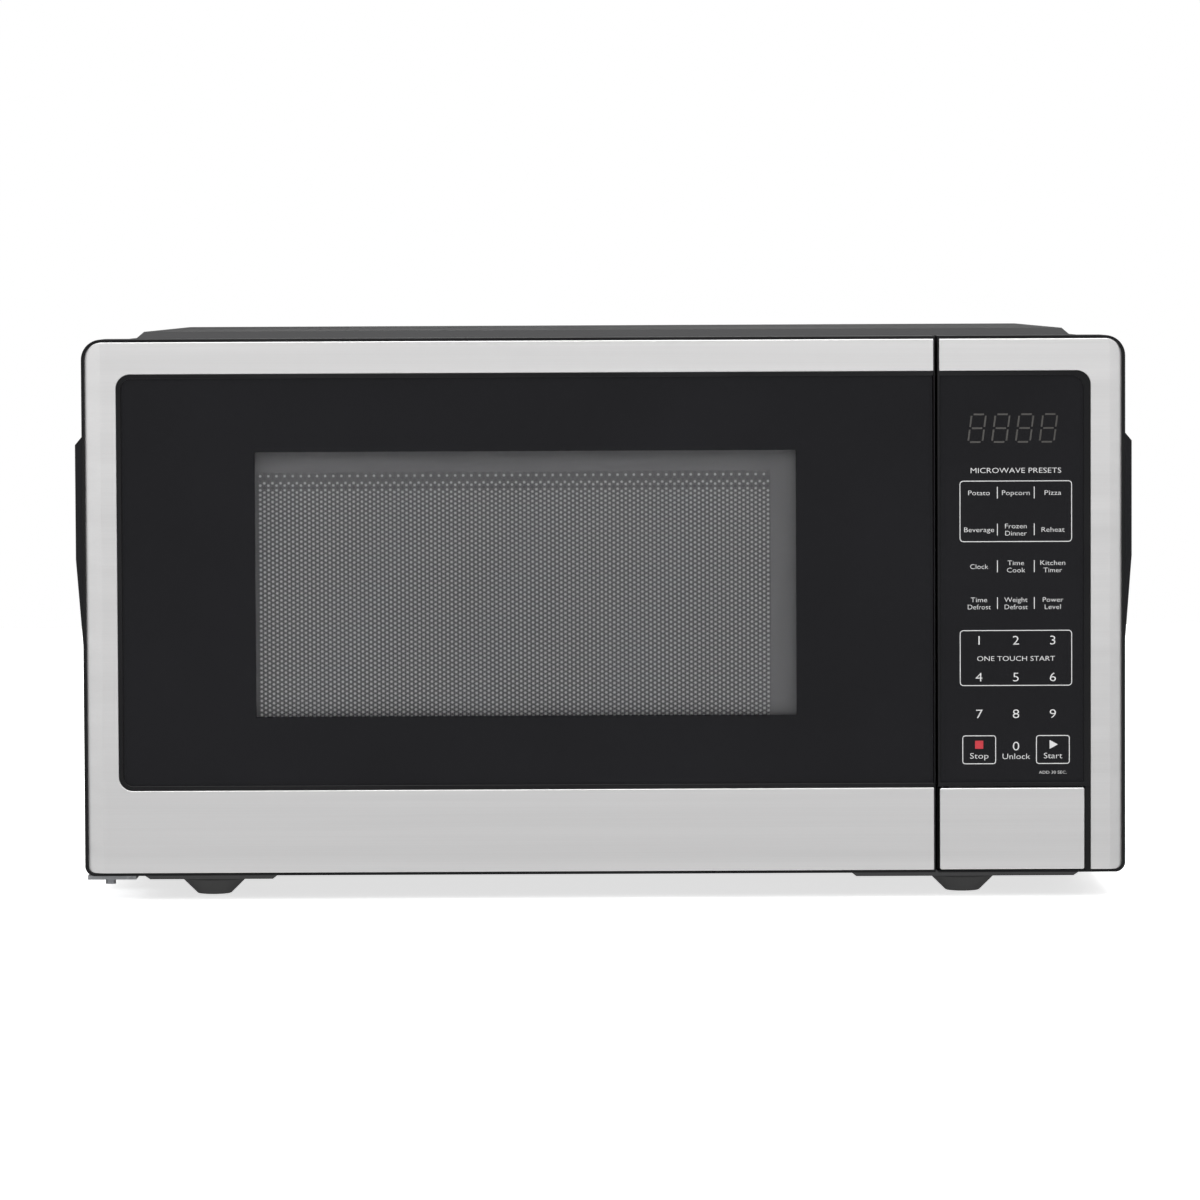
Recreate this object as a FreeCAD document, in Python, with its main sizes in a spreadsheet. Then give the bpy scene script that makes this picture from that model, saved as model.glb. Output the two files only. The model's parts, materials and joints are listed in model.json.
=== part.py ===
import FreeCAD, Part
import math
import operator
import os

import Sketcher

# Countertop microwave oven. Millimetres; +X to the right, +Y to the back, +Z up.
# The origin is on the table, under the centre of the oven.

SIZES = {
    # whole oven
    "front_width": 513.0,
    "front_height": 264.5,
    "body_depth": 437.0,
    "foot_clearance": 13.0,
    # sheet metal
    "sheet": 0.8,
    "bend_radius": 9.5,
    "cover_flange": 12.0,
    "cover_side_step": 1.0,
    "cover_top_step": 1.2,
    "base_drop": 0.5,
    "side_pressing": 9.0,
    "top_pressing": 4.5,
    "standoff_height": 6.5,
    # door and control panel outlines
    "door_thickness": 35.0,
    "door_gap": 2.0,
    "panel_width": 92.3,
    "panel_gap": 1.2,
    "corner_top": 10.0,
    "corner_bottom": 5.0,
    "shell": 2.5,
    # steel skins
    "skin": 1.2,
    "rim": 1.5,
    "band_side": 17.1,
    "band_top": 17.2,
    "band_bottom": 42.1,
    "opening_radius": 7.0,
    "hem": 2.0,
    "hem_width": 11.0,
    "bevel_depth": 2.5,
    "door_bevel": 8.0,
    "panel_bevel": 6.2,
    # glasses
    "lip": 2.3,
    "panel_lip": 3.3,
    "glass_setback": 1.7,
    "door_glass_thickness": 3.2,
    "panel_glass_thickness": 2.5,
    "front_wall": 2.1,
    # window, as borders of the door glass
    "window_left": 65.4,
    "window_right": 67.3,
    "window_top": 36.2,
    "window_bottom": 33.7,
    "window_margin": 3.0,
    # hinge
    "hinge_inset": 11.5,
    "hinge_setback": 15.5,
    "hinge_pin": 2.5,
    "hinge_corner": 8.0,
    "running_gap": 0.05,
    "tab_thickness": 2.0,
    # latch
    "hook_thickness": 6.0,
    "hook_inset": 13.0,
    "hook_low": 49.0,
    "hook_spacing": 138.0,
    "hook_travel": 3.5,
    "tooth": 3.2,
    "switch_travel": 1.2,
    "lever_rod": 2.0,
    # door-open button
    "button_gap": 0.3,
    "button_rod": 1.4,
    # cavity and turntable
    "cavity_left_gap": 35.5,
    "cavity_right_gap": 32.0,
    "cavity_top_gap": 23.5,
    "cavity_floor": 25.0,
    "cavity_back_gap": 22.0,
    "tray_clearance": 18.5,
    "tray_thickness": 4.8,
    "tray_rim": 14.0,
    "roller_radius": 7.0,
    "roller_inset": 50.5,
    "roller_width": 6.0,
    "roller_clearance": 0.1,
    "coupler_stem": 4.0,
    # feet
    "foot_height": 9.1,
    "foot_sole": 9.3,
    "foot_head": 16.0,
    "foot_inset_left": 60.8,
    "foot_inset_right": 77.7,
    "foot_front": 48.5,
    "foot_back": 42.0,
    # machinery
    "core_width": 80.0,
    "core_stack": 70.0,
    "core_height": 72.0,
    "core_leg": 26.0,
    "fan_radius": 46.0,
    "fan_clearance": 4.0,
    "screw_shank": 1.6,
    "screw_head": 3.8,
}

doc = FreeCAD.newDocument("microwave_oven")


class Size:
    """A length that carries its value and the spreadsheet expression that gives it."""

    def __init__(self, value, text=None):
        self.value = float(value)
        self.text = text or f"({self.value:.6g})"

    def combined(self, symbol, rule, first, second):
        first, second = sized(first), sized(second)
        return Size(rule(first.value, second.value), f"({first.text} {symbol} {second.text})")

    def __add__(self, other):
        return self.combined("+", operator.add, self, other)

    def __radd__(self, other):
        return self.combined("+", operator.add, other, self)

    def __sub__(self, other):
        return self.combined("-", operator.sub, self, other)

    def __rsub__(self, other):
        return self.combined("-", operator.sub, other, self)

    def __mul__(self, other):
        return self.combined("*", operator.mul, self, other)

    def __rmul__(self, other):
        return self.combined("*", operator.mul, other, self)

    def __truediv__(self, other):
        return self.combined("/", operator.truediv, self, other)

    def __neg__(self):
        return self.combined("-", operator.sub, 0, self)


def smaller(first, second):
    """The smaller of two lengths."""
    return Size(min(first.value, second.value), f"min({first.text}; {second.text})")


def sized(number):
    """A plain number becomes a Size, and a Size stays as it is."""
    return number if isinstance(number, Size) else Size(number)


class Sheet:
    """Writes the driving dimensions to a spreadsheet and hands each one out as a Size."""

    def __init__(self, sizes):
        cells = doc.addObject("Spreadsheet::Sheet", "Sizes")
        for row, (alias, number) in enumerate(sizes.items(), start=1):
            cells.set(f"A{row}", alias)
            cells.set(f"B{row}", str(number))
            cells.setAlias(f"B{row}", alias)
            setattr(self, alias, Size(number, f"Sizes.{alias}"))
        doc.recompute()


S = Sheet(SIZES)


# ---------------------------------------------------------------- helpers

AXIS_TURNS = {
    "X": FreeCAD.Rotation(FreeCAD.Vector(0, 1, 0), 90),
    "Y": FreeCAD.Rotation(FreeCAD.Vector(1, 0, 0), -90),
    "Z": FreeCAD.Rotation(),
}
PLANES = {"XY": 1, "XZ": -1, "YZ": 1}
nodes = []


def bind(thing, prop, size):
    thing.setExpression(prop, sized(size).text)


def place(thing, x, y, z, turn=None):
    """Puts an object at a spot tied to the spreadsheet, turned by a fixed rotation."""
    if turn:
        thing.Placement = FreeCAD.Placement(FreeCAD.Vector(), turn)
    for axis, size in zip("xyz", (x, y, z)):
        bind(thing, f"Placement.Base.{axis}", size)


def middle(span):
    return (span[0] + span[1]) / 2


def around(centre, width):
    """The span of a given width about a centre."""
    return centre - width / 2, centre + width / 2


def block(x, y, z):
    box = doc.addObject("Part::Box", "Block")
    for prop, (low, high) in zip(("Length", "Width", "Height"), (x, y, z)):
        bind(box, prop, high - low)
    place(box, x[0], y[0], z[0])
    return box


def starting_point(axis, centre, start):
    """The three coordinates of a point given by its place across an axis and along it."""
    spot = list(centre)
    spot.insert("XYZ".index(axis), start)
    return spot


def rod(axis, centre, radius, span):
    cylinder = doc.addObject("Part::Cylinder", "Rod")
    bind(cylinder, "Radius", radius)
    bind(cylinder, "Height", span[1] - span[0])
    place(cylinder, *starting_point(axis, centre, span[0]), AXIS_TURNS[axis])
    return cylinder


def taper(axis, centre, radii, span):
    cone = doc.addObject("Part::Cone", "Taper")
    bind(cone, "Radius1", radii[0])
    bind(cone, "Radius2", radii[1])
    bind(cone, "Height", span[1] - span[0])
    place(cone, *starting_point(axis, centre, span[0]), AXIS_TURNS[axis])
    return cone


def pressing(direction, base_level, height, base, face):
    """A four-sided bulge in a sheet. base and face are its outlines, ((low, high), (low, high)),
    along the two axes across the direction, in X, Y, Z order."""
    turns = {
        "+Z": FreeCAD.Rotation(FreeCAD.Vector(1, 0, 0), 90),
        "-Z": FreeCAD.Rotation(FreeCAD.Vector(1, 0, 0), -90),
        "+X": FreeCAD.Rotation(FreeCAD.Vector(0, 0, 1), -90),
        "-X": FreeCAD.Rotation(FreeCAD.Vector(0, 0, 1), 90),
    }
    wedge = doc.addObject("Part::Wedge", "Pressing")
    upright = direction.endswith("Z")
    flipped_side = 1 if upright else 0
    for prefix, outline in (("", base), ("2", face)):
        spans = list(outline)
        if direction.startswith("+"):
            spans[flipped_side] = mirrored(spans[flipped_side])
        for letter, (low, high) in zip("XZ", spans):
            bind(wedge, f"{letter}{prefix}min", low)
            bind(wedge, f"{letter}{prefix}max", high)
    bind(wedge, "Ymin", 0)
    bind(wedge, "Ymax", height)
    place(wedge, *((0, 0, base_level) if upright else (base_level, 0, 0)), turns[direction])
    return wedge


def mirrored(span):
    return -span[1], -span[0]


def joined(*pieces):
    fusion = doc.addObject("Part::MultiFuse", "Joined")
    fusion.Shapes = list(pieces)
    return fusion


def carved(base, *tools):
    cut = doc.addObject("Part::Cut", "Carved")
    cut.Base = base
    cut.Tool = joined(*tools) if len(tools) > 1 else tools[0]
    return cut


def node(name, thing):
    """Gives a finished sub-part its name and lists it for export."""
    thing.Label = name
    nodes.append(thing)
    return thing


def rectangle(across, up, radii=(0, 0, 0, 0)):
    """Corners from low-low, counter-clockwise, each with its own corner radius."""
    spots = ((across[0], up[0]), (across[1], up[0]), (across[1], up[1]), (across[0], up[1]))
    return [(u, v, radius) for (u, v), radius in zip(spots, radii)]


class Workpiece:
    """A PartDesign body that grows feature by feature."""

    def __init__(self, name):
        self.body = doc.addObject("PartDesign::Body", name)
        node(name, self.body)

    def origin(self, role):
        return next(f for f in self.body.Origin.OriginFeatures if f.Role == role)

    def sketch(self, plane, offset):
        drawing = self.body.newObject("Sketcher::SketchObject", "Sketch")
        drawing.AttachmentSupport = [(self.origin(f"{plane}_Plane"), "")]
        drawing.MapMode = "FlatFace"
        bind(drawing, "AttachmentOffset.Base.z", offset)
        return drawing

    def extrude(self, kind, plane, outlines, span):
        """Pads or pockets outlines drawn on an origin plane between two levels across it."""
        low, high = sized(span[0]), sized(span[1])
        sign = PLANES[plane]
        start = low if (kind == "Pad") == (sign > 0) else high
        drawing = self.sketch(plane, start * sign)
        for outline in outlines:
            draw(drawing, outline)
        feature = self.body.newObject(f"PartDesign::{kind}", kind)
        feature.Profile = drawing
        bind(feature, "Length", high - low)
        self.body.Tip = feature
        return feature

    def pad(self, plane, span, *outlines):
        return self.extrude("Pad", plane, outlines, span)

    def pocket(self, plane, span, *outlines):
        """Cuts, and makes sure that something was cut."""
        before = self.body.Tip
        feature = self.extrude("Pocket", plane, outlines, span)
        doc.recompute()
        if feature.Shape.Volume >= before.Shape.Volume:
            raise ValueError(f"a pocket of {self.body.Label} cuts nothing")
        return feature

    def turn(self, outline):
        """Spins an outline of radii and heights about the vertical axis."""
        drawing = self.sketch("XZ", 0)
        draw(drawing, outline)
        feature = self.body.newObject("PartDesign::Revolution", "Revolution")
        feature.Profile = drawing
        feature.ReferenceAxis = (drawing, ["V_Axis"])
        feature.Angle = 360
        self.body.Tip = feature

    def repeat_around(self, feature, axis, count):
        pattern = self.body.newObject("PartDesign::PolarPattern", "Pattern")
        pattern.Originals = [feature]
        pattern.Axis = (self.origin(f"{axis}_Axis"), [""])
        pattern.Angle = 360
        pattern.Occurrences = count
        self.body.Tip = pattern

    def move(self, x, y, z, turn=None):
        place(self.body, x, y, z, turn)


def hole(u, v, radius):
    """A round outline for a sketch."""
    return [(u, v, radius, "round")]


def draw(drawing, outline):
    """Adds a closed outline to a sketch and ties every point of it to the spreadsheet."""
    if len(outline) == 1:
        draw_circle(drawing, *outline[0][:3])
        return
    corners = [(sized(c[0]), sized(c[1]), sized(c[2] if len(c) > 2 else 0)) for c in outline]
    legs = [corner_legs(corners, number) for number in range(len(corners))]
    ends = []
    for number, (into, out) in enumerate(legs):
        if corners[number][2].value:
            ends.append(draw_arc(drawing, into, out, corners, number))
        following = legs[(number + 1) % len(legs)][0]
        line = drawing.addGeometry(Part.LineSegment(vector(out), vector(following)), False)
        pin_point(drawing, line, 1, out)
        ends.append((line, 1, line, 2))
    for (_, _, last, last_end), (first, first_end, _, _) in zip(ends, ends[1:] + ends[:1]):
        drawing.addConstraint(Sketcher.Constraint("Coincident", last, last_end, first, first_end))


def vector(point):
    return FreeCAD.Vector(point[0].value, point[1].value, 0)


def heading(start, end):
    """The direction from one corner to the next along an axis, as two signs."""
    across = end[0].value - start[0].value
    up = end[1].value - start[1].value
    return (math.copysign(1, across), 0) if abs(across) > abs(up) else (0, math.copysign(1, up))


def corner_legs(corners, number):
    """Where a corner's rounding starts and ends. Both are the corner itself if it is sharp."""
    u, v, radius = corners[number]
    if not radius.value:
        return (u, v), (u, v)
    back = heading(corners[number], corners[number - 1])
    ahead = heading(corners[number], corners[(number + 1) % len(corners)])
    into = (u + radius * back[0], v + radius * back[1])
    out = (u + radius * ahead[0], v + radius * ahead[1])
    return into, out


def draw_arc(drawing, into, out, corners, number):
    """A quarter round between two points, and the ends at which it joins its neighbours."""
    u, v, radius = corners[number]
    back = heading(corners[number], corners[number - 1])
    ahead = heading(corners[number], corners[(number + 1) % len(corners)])
    left_turn = back[0] * ahead[1] - back[1] * ahead[0] < 0
    centre = FreeCAD.Vector(
        u.value + radius.value * (back[0] + ahead[0]), v.value + radius.value * (back[1] + ahead[1]), 0)
    first, last = (into, out) if left_turn else (out, into)
    angles = [math.atan2(p[1].value - centre.y, p[0].value - centre.x) for p in (first, last)]
    circle = Part.Circle(centre, FreeCAD.Vector(0, 0, 1), radius.value)
    arc = drawing.addGeometry(Part.ArcOfCircle(circle, *angles), False)
    constraint = drawing.addConstraint(Sketcher.Constraint("Radius", arc, radius.value))
    bind(drawing, f"Constraints[{constraint}]", radius)
    start, end = (1, 2) if left_turn else (2, 1)
    pin_point(drawing, arc, start, into)
    return arc, start, arc, end


def draw_circle(drawing, u, v, radius):
    u, v, radius = sized(u), sized(v), sized(radius)
    circle = Part.Circle(FreeCAD.Vector(u.value, v.value, 0), FreeCAD.Vector(0, 0, 1), radius.value)
    ring = drawing.addGeometry(circle, False)
    pin_point(drawing, ring, 3, (u, v))
    constraint = drawing.addConstraint(Sketcher.Constraint("Radius", ring, radius.value))
    bind(drawing, f"Constraints[{constraint}]", radius)


def pin_point(drawing, geometry, end, point):
    """Fixes one point of a sketch by its two coordinates."""
    for kind, size in zip(("DistanceX", "DistanceY"), point):
        constraint = drawing.addConstraint(
            Sketcher.Constraint(kind, -1, 1, geometry, end, sized(size).value))
        bind(drawing, f"Constraints[{constraint}]", size)


# ---------------------------------------------------------------- shared levels

left = -S.front_width / 2
right = S.front_width / 2
front = -S.body_depth / 2
back = S.body_depth / 2
bottom = S.foot_clearance
top = bottom + S.front_height

# door and control panel
door_right = right - S.panel_width - S.panel_gap
panel_left = right - S.panel_width
frame_front = front + S.skin
door_back = front + S.door_thickness
opening_left = left + S.band_side
opening_right = right - S.band_side
opening_low = bottom + S.band_bottom
opening_high = top - S.band_top
glass_low = opening_low + S.lip
glass_high = opening_high - S.lip
door_glass_x = (opening_left + S.lip, door_right - 1.0)
panel_glass_x = (panel_left + 1.0, opening_right - S.panel_lip)
glass_front = front + S.glass_setback
door_shelf = glass_front + S.door_glass_thickness
panel_shelf = glass_front + S.panel_glass_thickness
door_wall_back = door_shelf + S.front_wall
panel_wall_back = panel_shelf + S.front_wall
window_x = (door_glass_x[0] + S.window_left, door_glass_x[1] - S.window_right)
window_z = (glass_low + S.window_bottom, glass_high - S.window_top)

# cabinet
cabinet_front = door_back + S.door_gap
rear_face = back - S.standoff_height
cover_x = (left + S.cover_side_step, right - S.cover_side_step)
inner_x = (cover_x[0] + S.sheet, cover_x[1] - S.sheet)
cover_top = top - S.cover_top_step
inner_top = cover_top - S.sheet
base_under = bottom - S.base_drop
base_level = base_under + S.sheet
rear_panel_y = (rear_face - S.sheet * 2, rear_face - S.sheet)
inner_bend = S.bend_radius - S.sheet

# cavity, inside faces
cavity_x = (left + S.cavity_left_gap, door_right - S.cavity_right_gap)
cavity_y = (cabinet_front + S.sheet, rear_face - S.cavity_back_gap)
cavity_z = (bottom + S.cavity_floor, top - S.cavity_top_gap)
cavity_wall = cavity_x[1] + S.sheet
tray_x, tray_y = middle(cavity_x), middle(cavity_y)
tray_radius = smaller(cavity_x[1] - cavity_x[0], cavity_y[1] - cavity_y[0]) / 2 - S.tray_clearance
roller_track = tray_radius - S.roller_inset
roller_level = cavity_z[0] + S.roller_radius + S.roller_clearance
tray_level = roller_level + S.roller_radius + S.roller_clearance

# hinge axis
hinge_x = left + S.hinge_inset
hinge_y = front + S.hinge_setback

# latch: the lifted height of each hook's underside
hook_x = around(door_right - S.hook_inset, S.hook_thickness)
hook_levels = (bottom + S.hook_low, bottom + S.hook_low + S.hook_spacing)
catch_drop = S.hook_travel + 0.3
slot_x = (hook_x[0] - 2.0, hook_x[1] + 5.0)
paddle_x = around(middle(hook_x), 14.6)
paddle_slot_x = (paddle_x[0] - 1.8, paddle_x[1] + 4.0)
bracket_y = (cabinet_front + S.sheet, cabinet_front + S.sheet + 2.5)
finger_x = around(panel_left + 35.8, 8.0)
finger_z = (bottom + 15.0, bottom + 21.0)
finger_slot = (finger_x[0] - 2.0, finger_x[1] + 2.0), (bottom + 11.0, bottom + 31.5)
lever_y, lever_z = cabinet_front + 51.5, finger_z[1] + 6.0

# machinery compartment
bay_x = (cavity_wall, inner_x[1])
fan_x, fan_z = bay_x[1] - 59.7, cavity_z[1] - 84.0


# ---------------------------------------------------------------- cabinet

def outer_cover():
    """Wrap-round sheet cover with a rear flange, pressed top and sides, and side vents."""
    wrap = Workpiece("cover_wrap")
    nodes.remove(wrap.body)
    bends = (0, 0, S.bend_radius, S.bend_radius)
    inner_bends = (0, 0, inner_bend, inner_bend)
    below = base_under - 1.0
    wrap.pad("XZ", (cabinet_front, rear_face), rectangle(cover_x, (base_under, cover_top), bends))
    flange_front = rear_face - S.sheet
    wrap.pocket("XZ", (cabinet_front, flange_front), rectangle(inner_x, (below, inner_top), inner_bends))
    flange_x = (inner_x[0] + S.cover_flange, inner_x[1] - S.cover_flange)
    flange_z = (below, inner_top - S.cover_flange)
    wrap.pocket("XZ", (flange_front, rear_face), rectangle(flange_x, flange_z))

    side_low, side_high = base_under + 49.5, cover_top - 42.0
    side_base = ((cabinet_front + 9.5, rear_face - 40.0), (side_low, side_high))
    side_face = ((cabinet_front + 19.5, rear_face - 50.0), (side_low + 105.0, side_high - 10.0))
    top_base = (shrunk(cover_x, 21.0), (cabinet_front + 16.0, rear_face - 22.0))
    top_face = (shrunk(cover_x, 26.0), (cabinet_front + 21.0, rear_face - 27.0))

    def bulges(inset):
        return [
            pressing("-X", cover_x[0] + inset, S.side_pressing, side_base, side_face),
            pressing("+X", cover_x[1] - inset, S.side_pressing, side_base, side_face),
            pressing("+Z", cover_top - inset, S.top_pressing, top_base, top_face),
        ]

    vents = []
    through_x = shrunk(cover_x, -1.0)
    for row in range(2):
        for column in range(12):
            start = rear_face - 60.0 - 8.0 * column
            low = base_under + 15.0 + 16.0 * row
            vents.append(block(through_x, (start, start + 3.0), (low, low + 12.0)))
    rear_holes = [rod("Y", spot, S.screw_shank + 0.2, (rear_face - 1.0, rear_face + 1.0))
                  for spot in rear_screw_spots()]
    shell = carved(joined(wrap.body, *bulges(0.0)), *bulges(S.sheet))
    node("outer_cover", carved(shell, *vents, *rear_holes))


def rear_screw_spots():
    """Screws through the cover's rear flange, as (x, z)."""
    half_flange = S.cover_flange / 2
    sides = (inner_x[0] + half_flange, inner_x[1] - half_flange)
    spots = [(x, z) for x in sides for z in (base_level + 45.0, inner_top - 40.0)]
    return spots + [(x, inner_top - half_flange) for x in (inner_x[0] + 110.0, inner_x[1] - 110.0)]


def gland_spot():
    return inner_x[1] - 40.0, base_level + 28.0


def rear_panel():
    """Flat sheet with stand-offs, an intake grille behind the fan and an exhaust grille."""
    plate = Workpiece("rear_sheet")
    nodes.remove(plate.body)
    corners = (0, 0, inner_bend, inner_bend)
    plate.pad("XZ", rear_panel_y, rectangle(inner_x, (base_level, inner_top), corners))
    across, up = (inner_x[0] + 45.0, inner_x[1] - 135.0), (base_level + 62.0, inner_top - 75.0)
    spots = [(x, z) for x in across for z in up]
    foot, tip = 13.0, 8.0
    bumps = [taper("Y", spot, (foot, tip), (rear_panel_y[1], back)) for spot in spots]
    hollow = (foot - S.sheet, tip - S.sheet), (rear_panel_y[0], back - S.sheet)
    dents = [taper("Y", spot, *hollow) for spot in spots]
    through_y = (rear_panel_y[0] - 1.0, rear_face)
    openings = grille((fan_x - 46.0, fan_z - 44.0), 4, 10)
    openings += grille((inner_x[0] + 80.0, inner_top - 70.0), 3, 5)
    openings += [rod("Y", spot, S.screw_shank + 0.2, through_y) for spot in rear_screw_spots()]
    openings.append(rod("Y", gland_spot(), 8.0, through_y))
    node("rear_panel", carved(joined(plate.body, *bumps), *dents, *openings))


def grille(corner, columns, rows):
    """Cutting tools for a field of horizontal slots in the rear panel."""
    slots = []
    for column in range(columns):
        for row in range(rows):
            x, z = corner[0] + 24.0 * column, corner[1] + 9.0 * row
            slots.append(block((x, x + 20.0), (rear_panel_y[0] - 1.0, rear_face), (z, z + 3.5)))
    return slots


def foot_spots():
    """Foot names and their axes, as (x, y)."""
    sides = {"left": left + S.foot_inset_left, "right": right - S.foot_inset_right}
    ends = {"front": front + S.foot_front, "rear": rear_face - S.foot_back}
    return {f"foot_{end}_{side}": (x, y) for end, y in ends.items() for side, x in sides.items()}


def base_plate():
    """Base pan with a pressed boss over each foot and a row of slots on each side."""
    plate = block(inner_x, (cabinet_front, rear_panel_y[1]), (base_under, base_level))
    depth = base_under - S.foot_height
    bosses, dents, openings = [], [], []
    for name, (x, y) in foot_spots().items():
        reach = 58.0 if name.endswith("right") else 34.5
        base = ((x - reach, x + reach), (y - 28.0, y + 28.0))
        face = ((x - reach + 4.0, x + reach - 4.0), (y - 24.0, y + 24.0))
        bosses.append(pressing("-Z", base_under, depth, base, face))
        dents.append(pressing("-Z", base_level, depth, base, face))
        openings.append(rod("Z", (x, y), 2.2, (S.foot_height - 1.0, base_level)))
    slot_y, slot_z = (tray_y + 70.0, tray_y + 100.0), (base_under - 1.0, base_level + 1.0)
    for column in range(10):
        x = cavity_x[0] + 40.0 + 14.0 * column
        openings.append(block((x, x + 4.0), slot_y, slot_z))
    node("base_plate", carved(joined(plate, *bosses), *dents, *openings))


def feet():
    """Rubber feet, turned, with a recess for the screw head."""
    recess, recess_depth, bore = 4.5, 4.0, 2.2
    for name, (x, y) in foot_spots().items():
        foot = Workpiece(name)
        foot.turn([(recess, 0), (S.foot_sole - 1.0, 0), (S.foot_sole, 1.0),
                   (S.foot_head, S.foot_height - 1.5), (S.foot_head, S.foot_height),
                   (bore, S.foot_height), (bore, recess_depth), (recess, recess_depth)])
        foot.move(x, y, 0)


def fasteners():
    """Cover screws in the rear flange, and the screws that hold the feet."""
    rear = []
    for spot in rear_screw_spots():
        rear.append(rod("Y", spot, S.screw_shank, (rear_panel_y[0] - 6.0, rear_face)))
        rear.append(taper("Y", spot, (S.screw_head, S.screw_head - 0.8), (rear_face, rear_face + 2.2)))
    node("cover_screws", joined(*rear))
    under = []
    for x, y in foot_spots().values():
        under.append(rod("Z", (x, y), 4.0, (1.4, 4.0)))
        under.append(rod("Z", (x, y), 2.0, (4.0, base_level)))
    node("foot_screws", joined(*under))


def cord_gland():
    """Strain relief in the rear panel, open where the supply lead would enter."""
    x, z = gland_spot()
    flange = rod("Y", (x, z), 11.0, (rear_panel_y[1], rear_panel_y[1] + 2.6))
    neck = rod("Y", (x, z), 7.8, (rear_panel_y[0] - 2.0, rear_panel_y[1]))
    nose = taper("Y", (x, z), (7.0, 5.2), (rear_panel_y[1] + 2.6, back))
    lead_hole = rod("Y", (x, z), 3.4, (rear_panel_y[0] - 3.0, back + 1.0))
    node("cord_gland", carved(joined(flange, neck, nose), lead_hole))


# ---------------------------------------------------------------- cavity

def cavity():
    """Front frame, and the cooking cavity with its ports and perforations."""
    face = Workpiece("cavity_front_frame")
    face.pad("XZ", (cabinet_front, cavity_y[0]),
             rectangle(inner_x, (base_level, inner_top), (0, 0, inner_bend, inner_bend)))
    face.pocket("XZ", (cabinet_front, cavity_y[0]), rectangle(cavity_x, cavity_z), rectangle(*finger_slot),
                *hook_slots(), rectangle(around(hinge_x, 10.6), around(hinge_tab_z()[0] + 1.0, 2.6)))

    sheet = S.sheet
    outside = block((cavity_x[0] - sheet, cavity_wall), (cavity_y[0], cavity_y[1] + sheet),
                    (cavity_z[0] - sheet, cavity_z[1] + sheet))
    inside = block(cavity_x, (cavity_y[0] - 1.0, cavity_y[1]), cavity_z)
    skirt = block((cavity_x[0] + 20.0, cavity_x[1] - 20.0), (cavity_y[1], cavity_y[1] + sheet),
                  (base_level, cavity_z[0]))
    port = block((cavity_x[1] - 1.0, cavity_wall + 1.0), *port_yz())
    shaft_hole = rod("Z", (tray_x, tray_y), 8.0, (cavity_z[0] - 5.0, cavity_z[0] + 1.0))
    lamp_y, lamp_z = lamp_spot()
    lamp_holes = perforations((cavity_x[1] - 1.0, cavity_wall + 1.0), (lamp_y - 8.0, lamp_z - 20.0), 4, 4)
    steam_corner = (cavity_y[1] - 70.0, cavity_z[1] - 40.0)
    steam_holes = perforations((cavity_x[0] - 2.0, cavity_x[0] + 1.0), steam_corner, 8, 4)
    node("cavity_box", carved(joined(outside, skirt), inside, port, shaft_hole, *lamp_holes, *steam_holes))


def perforations(x, corner, columns, rows):
    """Tools for a field of small round holes through a side wall, from its low front corner."""
    pitch, radius = 5.0, 1.5
    ys = [corner[0] + pitch * column for column in range(columns)]
    zs = [corner[1] + pitch * row for row in range(rows)]
    return [rod("X", (y, z), radius, x) for y in ys for z in zs]


def port_yz():
    """The waveguide's port in the cavity wall."""
    return around(tray_y - 15.0, 80.0), (cavity_z[1] - 94.0, cavity_z[1] - 24.0)


def lamp_spot():
    return cavity_y[1] - 38.35, cavity_z[1] - 29.0


def hook_slots():
    """Slots through which the two hooks enter the cabinet."""
    low, high = hook_levels
    return (rectangle(slot_x, (low - catch_drop, low + 7.0)),
            rectangle(paddle_slot_x, (high - catch_drop, high + 7.0)))


def hinge_tab_z():
    """The upper hinge tab, inside the notch near the top of the door."""
    return top - 8.5, top - 8.5 + S.tab_thickness


# ---------------------------------------------------------------- hinges

def hinges():
    """Bracket and pin under the door, and tab and pin near its top."""
    pin_spot = (hinge_x, hinge_y)
    lower_z = (base_under - S.tab_thickness, base_under)
    foot = block((hinge_x - 11.0, hinge_x + 13.0), (hinge_y - 6.0, cabinet_front + 31.5), lower_z)
    pin = rod("Z", pin_spot, S.hinge_pin, (lower_z[0] - 2.5, bottom + 17.0))
    node("lower_hinge_bracket", joined(foot, pin))

    tab = block((hinge_x - 5.0, hinge_x + 5.0), (hinge_y, cavity_y[0] + 1.4), hinge_tab_z())
    eye = rod("Z", pin_spot, 5.0, hinge_tab_z())
    flange = block((hinge_x - 5.0, hinge_x + 19.0), (cavity_y[0], cavity_y[0] + 1.4),
                   (hinge_tab_z()[0] - 14.0, hinge_tab_z()[1]))
    upper_pin = rod("Z", pin_spot, S.hinge_pin, (hinge_tab_z()[0] - 13.0, hinge_tab_z()[1]))
    node("upper_hinge_bracket", joined(tab, eye, flange, upper_pin))


# ---------------------------------------------------------------- door

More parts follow.
